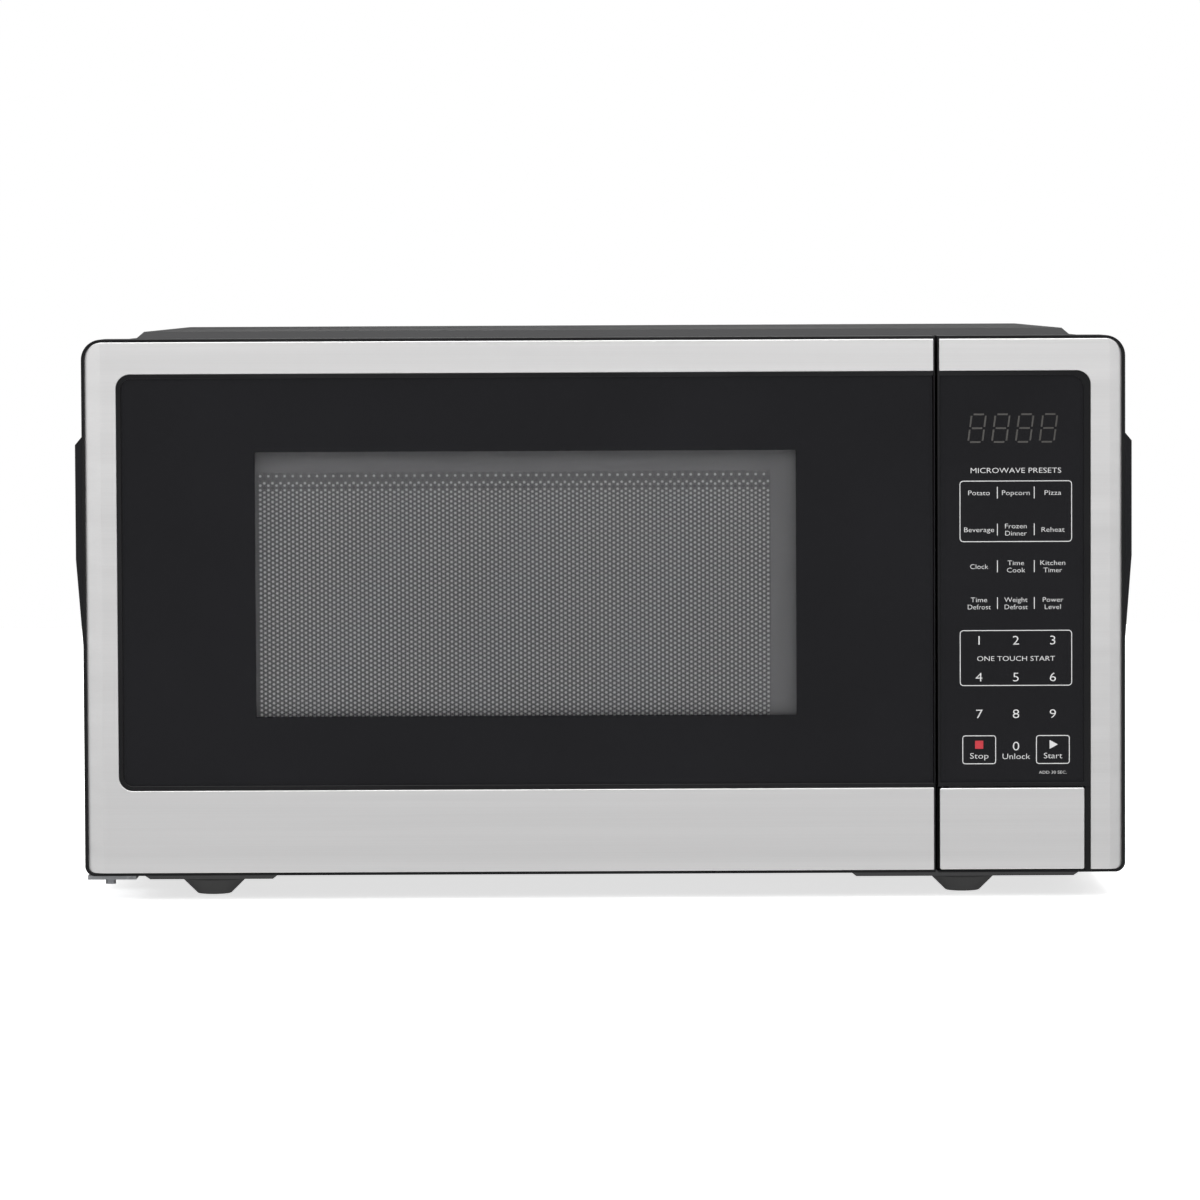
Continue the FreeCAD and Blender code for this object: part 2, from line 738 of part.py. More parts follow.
def door_frame():
    """Moulded frame: window, glass bed, raised lip, hinge bosses and hook guides."""
    frame = Workpiece("door_frame")
    frame.pad("XZ", (frame_front, door_back),
              rectangle((left, door_right), (bottom, top), (S.corner_bottom, 0, 0, S.corner_top)))
    boss_right = hinge_x + 7.0
    frame.pocket("XZ", (door_wall_back, door_back),
                 rectangle((boss_right, door_right - S.shell), (bottom + S.shell, top - S.shell)))
    frame.pocket("XZ", (door_wall_back, hinge_y + 10.0),
                 rectangle((left + S.shell, boss_right), (bottom + 27.0, top - 27.0)))
    frame.pocket("XZ", (frame_front, door_shelf), door_glass_outline())
    lip_front = frame_front - 0.8
    lip_outside = rectangle((opening_left + 0.1, door_right - 0.8), (opening_low + 0.1, opening_high - 0.1),
                            (S.opening_radius, 0, 0, S.opening_radius))
    frame.pad("XZ", (lip_front, frame_front), lip_outside, door_glass_outline())
    sight = rectangle(shrunk(window_x, -S.window_margin), shrunk(window_z, -S.window_margin))
    frame.pocket("XZ", (door_shelf, door_wall_back), sight)
    frame.pocket("XZ", (frame_front, frame_front + S.hem),
                 rectangle((left + S.rim, left + S.rim + S.hem_width), skin_z(), skin_corners()))
    frame.pocket("XY", (bottom, top), rear_corner_waste())
    notch_z = (hinge_tab_z()[0] - 1.5, hinge_tab_z()[1] + 1.5)
    frame.pocket("XY", notch_z, rectangle((left - 1.0, hinge_x + 6.5), (hinge_y - 11.2, door_back + 1.0)))
    for low, high in ((bottom, bottom + 19.0), (notch_z[0] - 15.0, notch_z[0])):
        frame.pocket("XY", (low, high), hole(hinge_x, hinge_y, S.hinge_pin + S.running_gap))
    guide_z = (hook_levels[0] + 20.0, hook_levels[1] - 20.0)
    guide_y = (door_wall_back, hook_spine_y()[1])
    guides_x = shrunk(hook_x, -3.0)
    for guide_x in ((guides_x[0], hook_x[0] - 0.3), (hook_x[1] + 0.3, guides_x[1])):
        frame.pad("XZ", guide_y, rectangle(guide_x, guide_z))
    frame.pad("XZ", guide_y, rectangle(guides_x, spring_stop_z()))


def rear_corner_waste():
    """What the rounding of the door's rear hinge-side edge takes away."""
    reach = S.hinge_corner + 1.0
    return [(left - 1.0, door_back - reach), (left, door_back - reach), (left, door_back, S.hinge_corner),
            (left + reach, door_back), (left + reach, door_back + 1.0), (left - 1.0, door_back + 1.0)]


def door_glass_outline():
    """The door glass fills the inside of the raised lip."""
    inner_radius = S.opening_radius - S.lip
    return rectangle(door_glass_x, (glass_low, glass_high), (inner_radius, 0, 0, inner_radius))


def skin_z():
    return bottom + S.rim, top - S.rim


def skin_corners():
    return (S.corner_bottom - S.rim, 0, 0, S.corner_top - S.rim)


def door_skin():
    """Steel trim round three sides of the door glass, bevelled along the hinge side."""
    low, high = skin_z()
    edge = left + S.rim
    trim = Workpiece("door_steel_trim")
    trim.pad("XZ", (front, frame_front), [
        (edge, low, S.corner_bottom - S.rim), (door_right - 0.8, low), (door_right - 0.8, opening_low),
        (opening_left, opening_low, S.opening_radius), (opening_left, opening_high, S.opening_radius),
        (door_right - 0.8, opening_high), (door_right - 0.8, high), (edge, high, S.corner_top - S.rim)])
    trim.pad("XZ", (frame_front, frame_front + S.hem),
             rectangle((edge, edge + S.hem_width), skin_z(), skin_corners()))
    trim.pocket("XY", (bottom, top), [(edge - 0.1, front - 0.1), (edge + S.door_bevel, front - 0.1),
                                      (edge + S.door_bevel, front), (edge - 0.1, front + S.bevel_depth)])


def door_inside():
    """Window glass, perforated screen pan, inner film and the choke cover."""
    glass = Workpiece("door_glass")
    glass.pad("XZ", (glass_front, door_shelf), door_glass_outline())

    pan_x, pan_z = (hinge_x + 9.0, hook_x[0] - 8.0), (bottom + 7.0, top - 7.0)
    cover_y = (door_back - 2.0, door_back)
    pan_y = (door_wall_back, door_wall_back + S.sheet)
    pan = Workpiece("door_screen")
    pan.pad("XZ", (pan_y[0], cover_y[0]), rectangle(pan_x, pan_z, (6, 6, 6, 6)))
    pan_inside = rectangle(shrunk(pan_x, S.sheet), shrunk(pan_z, S.sheet), (5, 5, 5, 5))
    pan.pocket("XZ", (pan_y[1], cover_y[0]), pan_inside)

    view_x = (window_x[0] - 13.0, window_x[1] + 12.0)
    view_z = (window_z[0] - 13.0, window_z[1] + 13.0)
    film = Workpiece("window_film")
    film.pad("XZ", (pan_y[1], pan_y[1] + 0.4), rectangle(view_x, view_z))

    cover = Workpiece("choke_cover")
    cover_z = (bottom + S.shell + 0.2, top - S.shell - 0.2)
    cover.pad("XZ", cover_y, rectangle((hinge_x + 7.2, door_right - S.shell - 0.2), cover_z),
              rectangle(view_x, view_z))
    cover.pad("XZ", (pan_y[1], cover_y[0]), rectangle(shrunk(view_x, -1.5), shrunk(view_z, -1.5)),
              rectangle(view_x, view_z))
    hook_gap = (hook_x[0] - 0.5, hook_x[1] + 0.5)
    slots = [rectangle(hook_gap, (level - S.hook_travel - 0.5, level + 6.5)) for level in hook_levels]
    cover.pocket("XZ", cover_y, *slots)


def shrunk(span, amount):
    return span[0] + amount, span[1] - amount


# ---------------------------------------------------------------- latch

def hook_spine_y():
    return door_wall_back + 8.0, door_wall_back + 19.0


def spring_stop_z():
    """The ledge in the door that the hook's spring pushes against."""
    return hook_levels[1] + 50.0, hook_levels[1] + 52.0


def door_hook():
    """Sliding hook with two noses. Its spring pulls it down behind the catches."""
    spine = hook_spine_y()
    tooth_y = (bracket_y[1] + 7.7, bracket_y[1] + 12.7)
    reach = tooth_y[1] + 7.5
    low, high = hook_levels
    hook_top = high + 22.0
    profile = [(spine[0], low - 17.0), (spine[1], low - 17.0)]
    for level in hook_levels:
        nose_top = level + 6.0
        profile += [(spine[1], level), (tooth_y[0], level), (tooth_y[0], level - S.tooth),
                    (tooth_y[1], level - S.tooth), (tooth_y[1], level), (reach, level),
                    (reach, nose_top), (spine[1], nose_top)]
    profile += [(spine[1], hook_top), (spine[0], hook_top)]
    hook = Workpiece("door_hook")
    hook.pad("YZ", hook_x, profile)
    hook.pad("YZ", paddle_x, rectangle((tooth_y[1], reach), (high, high + 3.0)))
    axis_y = middle(spine)
    coil("hook_spring", "Z", (middle(hook_x), axis_y, hook_top), 3.2, 0.5, spring_stop_z()[0] - hook_top, 7)


def coil(name, axis, start, radius, wire, length, turns):
    """Compression spring of round wire. Its ends stand just clear of what it presses on."""
    helix = doc.addObject("Part::Helix", f"{name}_line")
    bind(helix, "Radius", radius)
    bind(helix, "Height", length - 2.2 * wire)
    bind(helix, "Pitch", (length - 2.2 * wire) / turns)
    ring = doc.addObject("Part::Circle", f"{name}_section")
    bind(ring, "Radius", wire)
    x, y, z = start
    if axis == "Z":
        place(helix, x, y, z + 1.1 * wire)
        place(ring, x + radius, y, z + 1.1 * wire, FreeCAD.Rotation(FreeCAD.Vector(1, 0, 0), 90))
    else:
        place(helix, x, y + 1.1 * wire, z, AXIS_TURNS["Y"])
        place(ring, x + radius, y + 1.1 * wire, z)
    doc.recompute()
    spring = doc.addObject("Part::Sweep", name)
    spring.Sections = [ring]
    spring.Spine = (helix, [f"Edge{number}" for number in range(1, len(helix.Shape.Edges) + 1)])
    spring.Solid = True
    spring.Frenet = True
    node(name, spring)


def latch_bracket():
    """Moulded bracket behind the front frame: catches, switch shelf and lever cheeks."""
    low, high = hook_levels
    plate = block((cavity_wall + 2.0, paddle_slot_x[1] + 2.0), bracket_y, (low - 12.0, high + 15.0))
    lower_z = (finger_slot[1][0] - 2.0, low - 12.0)
    lower_plate = block((cavity_wall + 2.0, finger_x[1] + 8.0), bracket_y, lower_z)
    lever_reach = (bracket_y[1], lever_y + 5.0)
    cheek_z = (lever_z - 8.0, lever_z + 7.0)
    cheeks = [block(x, lever_reach, cheek_z) for x in (
        (hook_x[0] - 4.0, hook_x[0] - 0.6), (finger_x[1] + 2.0, finger_x[1] + 5.0))]
    catches = [block(around(middle(hook_x), 14.0), (bracket_y[1], bracket_y[1] + 6.7),
                     (level - catch_drop - 4.0, level - catch_drop)) for level in hook_levels]
    shelf = block((paddle_slot_x[0], paddle_slot_x[1] + 1.0), (bracket_y[1], switch_y()[1]),
                  (switch_z()[0] - 4.0, switch_z()[0]))
    windows = [
        block(slot_x, (bracket_y[0] - 1.0, bracket_y[1]), (low - catch_drop, low + 7.0)),
        block(paddle_slot_x, (bracket_y[0] - 1.0, bracket_y[1]), (high - catch_drop, high + 7.0)),
        block(finger_slot[0], (bracket_y[0] - 1.0, bracket_y[1]), finger_slot[1]),
        rod("X", (lever_y, lever_z), S.lever_rod, (hook_x[0] - 5.0, finger_x[1] + 6.0)),
    ]
    node("latch_bracket", carved(joined(plate, lower_plate, *cheeks, *catches, shelf), *windows))
    rod_x = (hook_x[0] - 4.0, finger_x[1] + 5.0)
    node("lever_rod", rod("X", (lever_y, lever_z), S.lever_rod, rod_x))


def release_lever():
    """Rocker that the button's finger tips, so that its post lifts the lower hook."""
    barrel_x = (hook_x[0], finger_x[1])
    barrel = rod("X", (lever_y, lever_z), 4.0, barrel_x)
    bore = rod("X", (lever_y, lever_z), S.lever_rod + S.running_gap, shrunk(barrel_x, -1.0))
    finger_tip = finger_tip_y()
    button_arm = block(finger_x, (finger_tip - 6.0, lever_y), (finger_z[1] + 0.4, finger_z[1] + 4.0))
    post_y = (bracket_y[1] + 14.2, bracket_y[1] + 18.7)
    hook_arm = block(hook_x, (post_y[0], lever_y), (lever_z - 3.5, lever_z + 3.5))
    post_top = hook_levels[0] - S.hook_travel - 0.5
    post = block(hook_x, post_y, (lever_z - 3.5, post_top))
    node("release_lever", carved(joined(barrel, button_arm, hook_arm, post), bore))


def switch_y():
    return bracket_y[1] + 13.7, bracket_y[1] + 41.5


def switch_z():
    return hook_levels[1] - S.hook_travel - 0.5 - 15.9, hook_levels[1] - S.hook_travel - 0.5


def interlock_switches():
    """Two snap-action switches side by side, and the plungers that the hook presses."""
    centre = middle(paddle_x)
    width = 10.3
    plunger_y = bracket_y[1] + 16.7
    bodies, plungers, bores = [], [], []
    for side in (-1, 1):
        x = centre + side * width / 2
        bodies.append(block(around(x, width - 0.2), switch_y(), switch_z()))
        bores.append(rod("Z", (x, plunger_y), 1.25, (switch_z()[1] - 5.0, switch_z()[1] + 1.0)))
        plunger_z = (switch_z()[1] - 3.5, hook_levels[1] - S.hook_travel + S.switch_travel - 0.05)
        plungers.append(rod("Z", (x, plunger_y), 1.2, plunger_z))
    node("interlock_switches", carved(joined(*bodies), *bores))
    node("switch_plungers", joined(*plungers))


# ---------------------------------------------------------------- control panel

def button_z():
    return bottom + S.rim + 0.1, opening_low - S.button_gap


def button_axis():
    return front + 6.3, button_z()[1] - 3.3


def button_x():
    return panel_left + 0.85, panel_glass_x[1] + 0.2


def finger_tip_y():
    return cabinet_front + 5.5


def panel_frame():
    """Moulded frame of the control panel: glass bed, button opening, ears and board posts."""
    frame = Workpiece("panel_frame")
    frame.pad("XZ", (frame_front, cabinet_front),
              rectangle((panel_left, right), (bottom, top), (0, S.corner_bottom, S.corner_top, 0)))
    inside_x = (panel_left + S.shell, right - S.shell)
    inside_z = (bottom + S.shell, top - S.shell)
    frame.pocket("XZ", (panel_wall_back, cabinet_front), rectangle(inside_x, inside_z))
    frame.pocket("XZ", (frame_front, panel_shelf), panel_glass_outline())
    bar_z = (opening_low + 0.4, glass_low)
    button_recess = rectangle((panel_left, button_x()[1] + 0.3), (bottom + 0.9, bar_z[0]))
    frame.pocket("XZ", (frame_front, front + 12.0), button_recess)
    lip_x, lip_z = (panel_left, opening_right - 0.1), (bar_z[0], opening_high - 0.1)
    frame.pad("XZ", (frame_front - 0.8, frame_front),
              rectangle(lip_x, lip_z, (0, 0, S.opening_radius, 0)), panel_glass_outline())
    frame.pocket("XZ", (panel_shelf, panel_wall_back), rectangle(*display_window()))
    frame.pocket("XZ", (frame_front, frame_front + S.hem),
                 rectangle((right - S.rim - S.hem_width, right - S.rim), skin_z(), panel_skin_corners()))
    frame.pad("XZ", (panel_wall_back, panel_wall_back + 6.0), rectangle(inside_x, bar_z))
    axis_y, axis_z = button_axis()
    for ear_x in ear_spans():
        frame.pad("XZ", (axis_y - 2.1, axis_y + 4.2), rectangle(ear_x, (axis_z - 4.0, bar_z[0])))
        frame.pocket("YZ", ear_x, hole(axis_y, axis_z, S.button_rod))
    for x in board_x()[0] + 4.0, board_x()[1] - 4.0:
        for z in board_z()[0] + 5.0, board_z()[1] - 5.0:
            frame.pad("XZ", (panel_wall_back, board_y()[0]), hole(x, z, 3.0))


def panel_glass_outline():
    """The panel glass has one rounded corner, the upper outer one."""
    return rectangle(panel_glass_x, (glass_low, glass_high), (0, 0, 6.5, 0))


def panel_skin_corners():
    return (0, S.corner_bottom - S.rim, S.corner_top - S.rim, 0)


def ear_spans():
    """The two ears that carry the button's rod, clear of the button's cheeks."""
    low, high = panel_left + S.shell + 0.3, button_x()[1] - 4.7
    return (low, low + 2.6), (high, high + 2.6)


def board_x():
    return panel_glass_x[0] + 4.5, panel_glass_x[1] - 3.5


def board_z():
    return glass_low + 5.0, glass_high - 6.0


def board_y():
    return panel_wall_back + 13.4, panel_wall_back + 15.0


def display_window():
    """Opening behind the clock digits, as x and z spans."""
    return around(middle(panel_glass_x) + 0.6, 48.5), (glass_high - 36.0, glass_high - 16.0)


def panel_front():
    """Steel trim, glass, display and circuit board of the control panel."""
    low, high = skin_z()
    edge = right - S.rim
    trim_left = panel_left + 0.8
    trim = Workpiece("panel_steel_trim")
    trim.pad("XZ", (front, frame_front), [
        (trim_left, opening_high), (opening_right, opening_high, S.opening_radius), (opening_right, low),
        (edge, low, S.corner_bottom - S.rim), (edge, high, S.corner_top - S.rim), (trim_left, high)])
    trim.pad("XZ", (frame_front, frame_front + S.hem),
             rectangle((edge - S.hem_width, edge), skin_z(), panel_skin_corners()))
    trim.pocket("XY", (bottom, top), [(edge - S.panel_bevel, front - 0.1), (edge + 0.1, front - 0.1),
                                      (edge + 0.1, front + S.bevel_depth), (edge - S.panel_bevel, front)])

    glass = Workpiece("panel_glass")
    glass.pad("XZ", (glass_front, panel_shelf), panel_glass_outline())

    window_across, window_up = display_window()
    module_y = (panel_shelf, board_y()[0])
    node("display_module", block(shrunk(window_across, 0.3), module_y, shrunk(window_up, 0.3)))
    node("control_board", block(board_x(), board_y(), board_z()))


def door_button():
    """Rocking button: a steel skin on a moulded carrier with two cheeks and a finger."""
    skin = Workpiece("button_skin")
    skin.pad("XZ", (front, frame_front), rectangle(button_x(), button_z(), (1, 1, 1, 1)))

    axis_y, axis_z = button_axis()
    slab_back = frame_front + 1.6
    slab = block(button_x(), (frame_front, slab_back), button_z())
    pieces, bores = [slab], []
    for ear_x, side in zip(ear_spans(), (1, -1)):
        near = ear_x[1] + 0.4 if side > 0 else ear_x[0] - 0.4
        cheek_x = (near, near + 2.5) if side > 0 else (near - 2.5, near)
        pieces.append(rod("X", (axis_y, axis_z), 3.2, cheek_x))
        pieces.append(block(cheek_x, (slab_back, axis_y), (axis_z - 3.2, axis_z + 3.2)))
        bores.append(rod("X", (axis_y, axis_z), S.button_rod + S.running_gap, shrunk(cheek_x, -1.0)))
    pieces.append(block(around(middle(finger_x), 4.0), (slab_back, finger_tip_y()), finger_z))
    node("door_button", carved(joined(*pieces), *bores))
    rod_x = (ear_spans()[0][0], ear_spans()[1][1])
    node("button_rod", rod("X", (axis_y, axis_z), S.button_rod, rod_x))
    coil("button_spring", "Y", (finger_x[1] + 12.0, slab_back, finger_z[0] - 4.0), 3.2, 0.5,
         cabinet_front - slab_back, 7)


# ---------------------------------------------------------------- turntable

def turntable():
    """Motor, coupler, roller ring, three rollers and the glass tray."""
    floor_under = cavity_z[0] - S.sheet
    motor = rod("Z", (tray_x, tray_y), 25.0, (floor_under - 15.0, floor_under))
    ears = block(around(tray_x, 62.0), around(tray_y, 12.0), (floor_under - 1.2, floor_under))
    socket_z = (floor_under - 9.0, floor_under + 1.0)
    socket = rod("Z", (tray_x, tray_y), S.coupler_stem + S.running_gap, socket_z)
    node("turntable_motor", carved(joined(motor, ears), socket))

    coupler_top = tray_level - 0.6
    coupler = Workpiece("drive_coupler")
    coupler.pad("XY", (cavity_z[0] + 4.5, coupler_top), hole(0, 0, 9.0))
    coupler.pad("XY", (floor_under - 8.5, cavity_z[0] + 4.5), hole(0, 0, S.coupler_stem))
    lobe = coupler.pad("XY", (coupler_top - 5.5, coupler_top), rectangle((0, 20), (-3, 3)))
    coupler.repeat_around(lobe, "Z", 3)
    coupler.move(tray_x, tray_y, 0)

    track = roller_track
    ring = Workpiece("roller_ring")
    ring.pad("XY", around(roller_level, 5.0), hole(0, 0, track - 3.0), hole(0, 0, track - 12.0))
    axle = ring.pad("YZ", (track - 4.0, track + S.roller_width + 2.0), hole(0, roller_level, 1.5))
    ring.repeat_around(axle, "Z", 3)
    ring.move(tray_x, tray_y, 0)

    for number in range(3):
        roller = Workpiece(f"roller_{number + 1}")
        roller.pad("YZ", (track, track + S.roller_width),
                   hole(0, roller_level, S.roller_radius), hole(0, roller_level, 1.5 + S.running_gap))
        roller.move(tray_x, tray_y, 0, FreeCAD.Rotation(FreeCAD.Vector(0, 0, 1), 120 * number))

    edge, thick = tray_radius, S.tray_thickness
    rim_top = tray_level + S.tray_rim
    tray = Workpiece("turntable_tray")
    bend_level = tray_level + 5.5
    tray.turn([(0, tray_level), (edge - 27.0, tray_level), (edge - 9.0, bend_level),
               (edge, rim_top - 2.0), (edge, rim_top), (edge - 3.5, rim_top),
               (edge - 11.0, bend_level + thick * 0.8), (edge - 29.0, tray_level + thick),
               (0, tray_level + thick)])
    peg = tray.pad("XY", (tray_level - 4.5, tray_level), hole(-15.5, 0, 5.0))
    tray.repeat_around(peg, "Z", 3)
    tray.move(tray_x, tray_y, 0)


# ---------------------------------------------------------------- machinery

def microwave_source():
    """Waveguide with its cover, and the magnetron with yoke, tube and cooling fins."""
    (port_front, port_back), (port_low, port_high) = port_yz()
    guide_y, guide_z = (port_front - 10.0, port_back + 10.0), (port_low - 10.0, port_high + 10.0)
    guide_x = (cavity_wall, cavity_wall + 18.2)
    axis = (middle(guide_y), middle(guide_z))
    channel = block(guide_x, guide_y, guide_z)
    hollow = block((guide_x[0] - 1.0, guide_x[1] - 1.0), shrunk(guide_y, 1.0), shrunk(guide_z, 1.0))
    node("waveguide", carved(channel, hollow, rod("X", axis, 7.4, (guide_x[1] - 2.0, guide_x[1] + 1.0))))
    node("waveguide_cover", block((cavity_x[1] - 0.5, cavity_x[1]), shrunk((port_front, port_back), -4.0),
                                  shrunk((port_low, port_high), -4.0)))

    yoke_x = (guide_x[1], guide_x[1] + 52.0)
    yoke_y, yoke_z = around(axis[0], 80.0), around(axis[1], 74.0)
    wall = 1.5
    inside_x, inside_z = shrunk(yoke_x, wall), shrunk(yoke_z, wall)
    yoke = block(yoke_x, yoke_y, yoke_z)
    node("magnetron_yoke", carved(yoke, block(inside_x, shrunk(yoke_y, -1.0), inside_z),
                                  rod("X", axis, 7.2, (yoke_x[0] - 1.0, yoke_x[0] + wall + 1.0))))
    anode_radius = 17.0
    anode = rod("X", axis, anode_radius, inside_x)
    antenna = rod("X", axis, 7.0, (guide_x[0] + 5.0, inside_x[0]))
    node("magnetron_tube", joined(anode, antenna))
    fins = []
    for number in range(8):
        x = inside_x[0] + 6.0 + 5.0 * number
        fin = block((x, x + 0.6), around(axis[0], 70.0), inside_z)
        fins.append(carved(fin, rod("X", axis, anode_radius, (x - 1.0, x + 2.0))))
    node("magnetron_fins", joined(*fins))
    node("thermal_cutout", rod("Z", (middle(yoke_x), axis[0]), 8.0, (yoke_z[1], yoke_z[1] + 8.0)))


def transformer():
    """Laminated core with two windows, and the windings round its middle leg."""
    core_x = around(bay_x[0] + 60.0, S.core_width)
    core_y = (lever_y + 25.0, lever_y + 25.0 + S.core_stack)
    core_z = (base_level, base_level + S.core_height)
    leg = S.core_leg
    leg_x = around(middle(core_x), leg)
    window = (core_x[0] + leg / 2, core_x[1] - leg / 2), shrunk(core_z, leg / 2)
    through = shrunk(core_y, -1.0)
    core = block(core_x, core_y, core_z)
    node("transformer_core", carved(core, block((window[0][0], leg_x[0]), through, window[1]),
                                    block((leg_x[1], window[0][1]), through, window[1])))
    winding = block(window[0], shrunk(core_y, -13.5), window[1])
    node("transformer_windings", carved(winding, block(leg_x, core_y, shrunk(window[1], -1.0))))


def capacitor():
    """Oval high-voltage capacitor with terminals, held down by a strap."""
    can_x = (bay_x[0] + 15.0, bay_x[0] + 105.0)
    can_y = around(tray_y + 85.0, 52.0)
    can_z = (base_level, base_level + 34.0)
    can = Workpiece("hv_capacitor")
    can.pad("YZ", can_x, rectangle(can_y, can_z, (16.9, 16.9, 16.9, 16.9)))
    for y in around(middle(can_y), 22.0):
        can.pad("YZ", (can_x[1], can_x[1] + 8.0), rectangle(around(y, 6.3), around(middle(can_z), 1.0)))
    strap = Workpiece("capacitor_strap")
    outside = shrunk(can_y, -1.0)
    strap_x = around(middle(can_x), 14.0)
    strap.pad("YZ", strap_x, rectangle(outside, (base_level, can_z[1] + 1.0), (0, 0, 17.9, 17.9)))
    strap.pad("YZ", strap_x, rectangle(shrunk(outside, -14.0), (base_level, base_level + 1.0)))
    strap.pocket("YZ", strap_x, rectangle(can_y, can_z, (16.9, 16.9, 16.9, 16.9)))


def cooling_fan():
    """Shroud on the rear panel, motor on a cross bar, and the blade on its shaft."""
    centre = (fan_x, fan_z)
    duct = S.fan_radius + S.fan_clearance
    half = duct + 5.0
    plate_x, plate_z = around(fan_x, half * 2), around(fan_z, half * 2)
    plate_y = (rear_panel_y[0] - 2.0, rear_panel_y[0])
    duct_y = (plate_y[0] - 20.4, plate_y[0])
    bar_y = (duct_y[0] - 16.0, duct_y[0] - 14.0)
    bar_x = around(fan_x, 20.0)
    legs = [block(bar_x, (bar_y[0], plate_y[0]), z) for z in (
        (plate_z[0], plate_z[0] + 2.7), (plate_z[1] - 2.7, plate_z[1]))]
    solids = [block(plate_x, plate_y, plate_z), rod("Y", centre, duct + 2.0, duct_y),
              block(bar_x, bar_y, plate_z), *legs]
    bore = rod("Y", centre, duct, (duct_y[0] - 1.0, plate_y[1] + 1.0))
    nose_hole = rod("Y", centre, 6.0, shrunk(bar_y, -1.0))
    node("fan_shroud", carved(joined(*solids), bore, nose_hole))

    motor_y = (bar_y[0] - 22.0, bar_y[0])
    core = block(around(fan_x, 40.0), motor_y, around(fan_z, 40.0))
    winding = block(around(fan_x, 34.0), shrunk(motor_y, 2.0), (fan_z - 42.0, fan_z - 20.0))
    nose = rod("Y", centre, 5.5, (motor_y[1], motor_y[1] + 5.0))
    shaft_bore = rod("Y", centre, 1.5 + S.running_gap, (motor_y[0] + 2.0, motor_y[1] + 6.0))
    node("fan_motor", carved(joined(core, winding, nose), shaft_bore))

    blade = Workpiece("fan_blade")
    hub_half = 7.0
    blade_y = middle(duct_y) + 1.0
    blade.pad("XZ", (-hub_half, hub_half), hole(0, 0, 11.0))
    blade.pad("XZ", (motor_y[0] + 3.0 - blade_y, -hub_half), hole(0, 0, 1.5))
    vane = blade.pad("XY", (9.0, S.fan_radius), [(-11.0, -6.0), (-9.0, -6.0), (11.0, 6.0), (9.0, 6.0)])
    blade.repeat_around(vane, "Y", 5)
    blade.move(fan_x, blade_y, fan_z)
    return plate_x, plate_z, bar_y, plate_y


def lamp():
    """Bulb and socket beside the perforated corner of the cavity."""
    y, z = lamp_spot()
    x = cavity_wall + 9.5
    socket = block((cavity_wall, cavity_wall + 18.0), around(y, 22.0), (z, z + 20.0))
    node("lamp_socket", socket)
    stem = rod("Z", (x, y), 5.0, (z - 6.0, z))
    bulb = rod("Z", (x, y), 8.0, (z - 24.0, z - 6.0))
    node("lamp_bulb", joined(stem, bulb))


def filter_board(plate_x, plate_z, bar_y, plate_y):
    """Mains filter: a board across the top of the shroud, with choke, capacitor and fuse."""
    level = plate_z[1]
    board = block((plate_x[0] + 5.0, plate_x[1] - 5.0), (bar_y[0], plate_y[1]), (level, level + 1.6))
    base = level + 1.6
    front_edge = bar_y[0] + 6.0
    choke = rod("Z", (fan_x - 28.0, front_edge + 14.0), 11.0, (base, base + 14.0))
    capacitor_block = block(around(fan_x + 4.0, 26.0), (front_edge, front_edge + 14.0), (base, base + 17.0))
    fuse = rod("X", (front_edge + 24.0, base + 2.5), 3.0, (fan_x + 20.0, fan_x + 40.0))
    node("filter_board", joined(board, choke, capacitor_block, fuse))


# ---------------------------------------------------------------- export

def check_and_write():
    """Stops at anything that FreeCAD could not build, then writes one STEP file for each node."""
    doc.recompute()
    failed = [thing.Label for thing in doc.Objects if {"Invalid", "Error"} & set(thing.State)]
    failed += [thing.Label for thing in nodes if thing.Shape.isNull() or not thing.Shape.isValid()]
    if failed:
        raise ValueError("not built: " + ", ".join(failed))
    os.makedirs("parts", exist_ok=True)
    for thing in nodes:
        thing.Shape.exportStep(os.path.join("parts", f"{thing.Label}.step"))
    print(f"{len(nodes)} nodes written")


outer_cover()
rear_panel()
base_plate()
feet()
fasteners()
cord_gland()
cavity()
hinges()
door_frame()
door_skin()
door_inside()
door_hook()
latch_bracket()
release_lever()
interlock_switches()
panel_frame()
panel_front()
door_button()
turntable()
microwave_source()
transformer()
capacitor()
filter_board(*cooling_fan())
lamp()
check_and_write()
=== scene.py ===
import json
import math

import bmesh
import bpy
from mathutils import Euler, Matrix, Vector


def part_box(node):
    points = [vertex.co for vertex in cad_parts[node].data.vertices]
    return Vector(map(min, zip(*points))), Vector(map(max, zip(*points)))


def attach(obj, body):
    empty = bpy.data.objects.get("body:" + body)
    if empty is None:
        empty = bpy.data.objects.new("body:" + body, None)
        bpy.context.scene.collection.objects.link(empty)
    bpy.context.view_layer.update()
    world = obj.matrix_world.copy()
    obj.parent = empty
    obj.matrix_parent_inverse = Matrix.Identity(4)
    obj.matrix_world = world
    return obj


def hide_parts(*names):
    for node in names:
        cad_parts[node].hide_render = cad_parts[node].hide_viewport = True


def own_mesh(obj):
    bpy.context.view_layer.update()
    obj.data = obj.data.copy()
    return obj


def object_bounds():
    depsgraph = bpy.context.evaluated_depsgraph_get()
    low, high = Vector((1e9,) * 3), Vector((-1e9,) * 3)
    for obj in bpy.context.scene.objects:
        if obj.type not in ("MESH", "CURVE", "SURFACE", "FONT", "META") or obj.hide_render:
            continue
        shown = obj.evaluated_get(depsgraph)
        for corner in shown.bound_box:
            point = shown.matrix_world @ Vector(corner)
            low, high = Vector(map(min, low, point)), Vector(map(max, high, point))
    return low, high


# Looks of a countertop microwave oven. Metres; +X to the right, +Y to the back, +Z up.

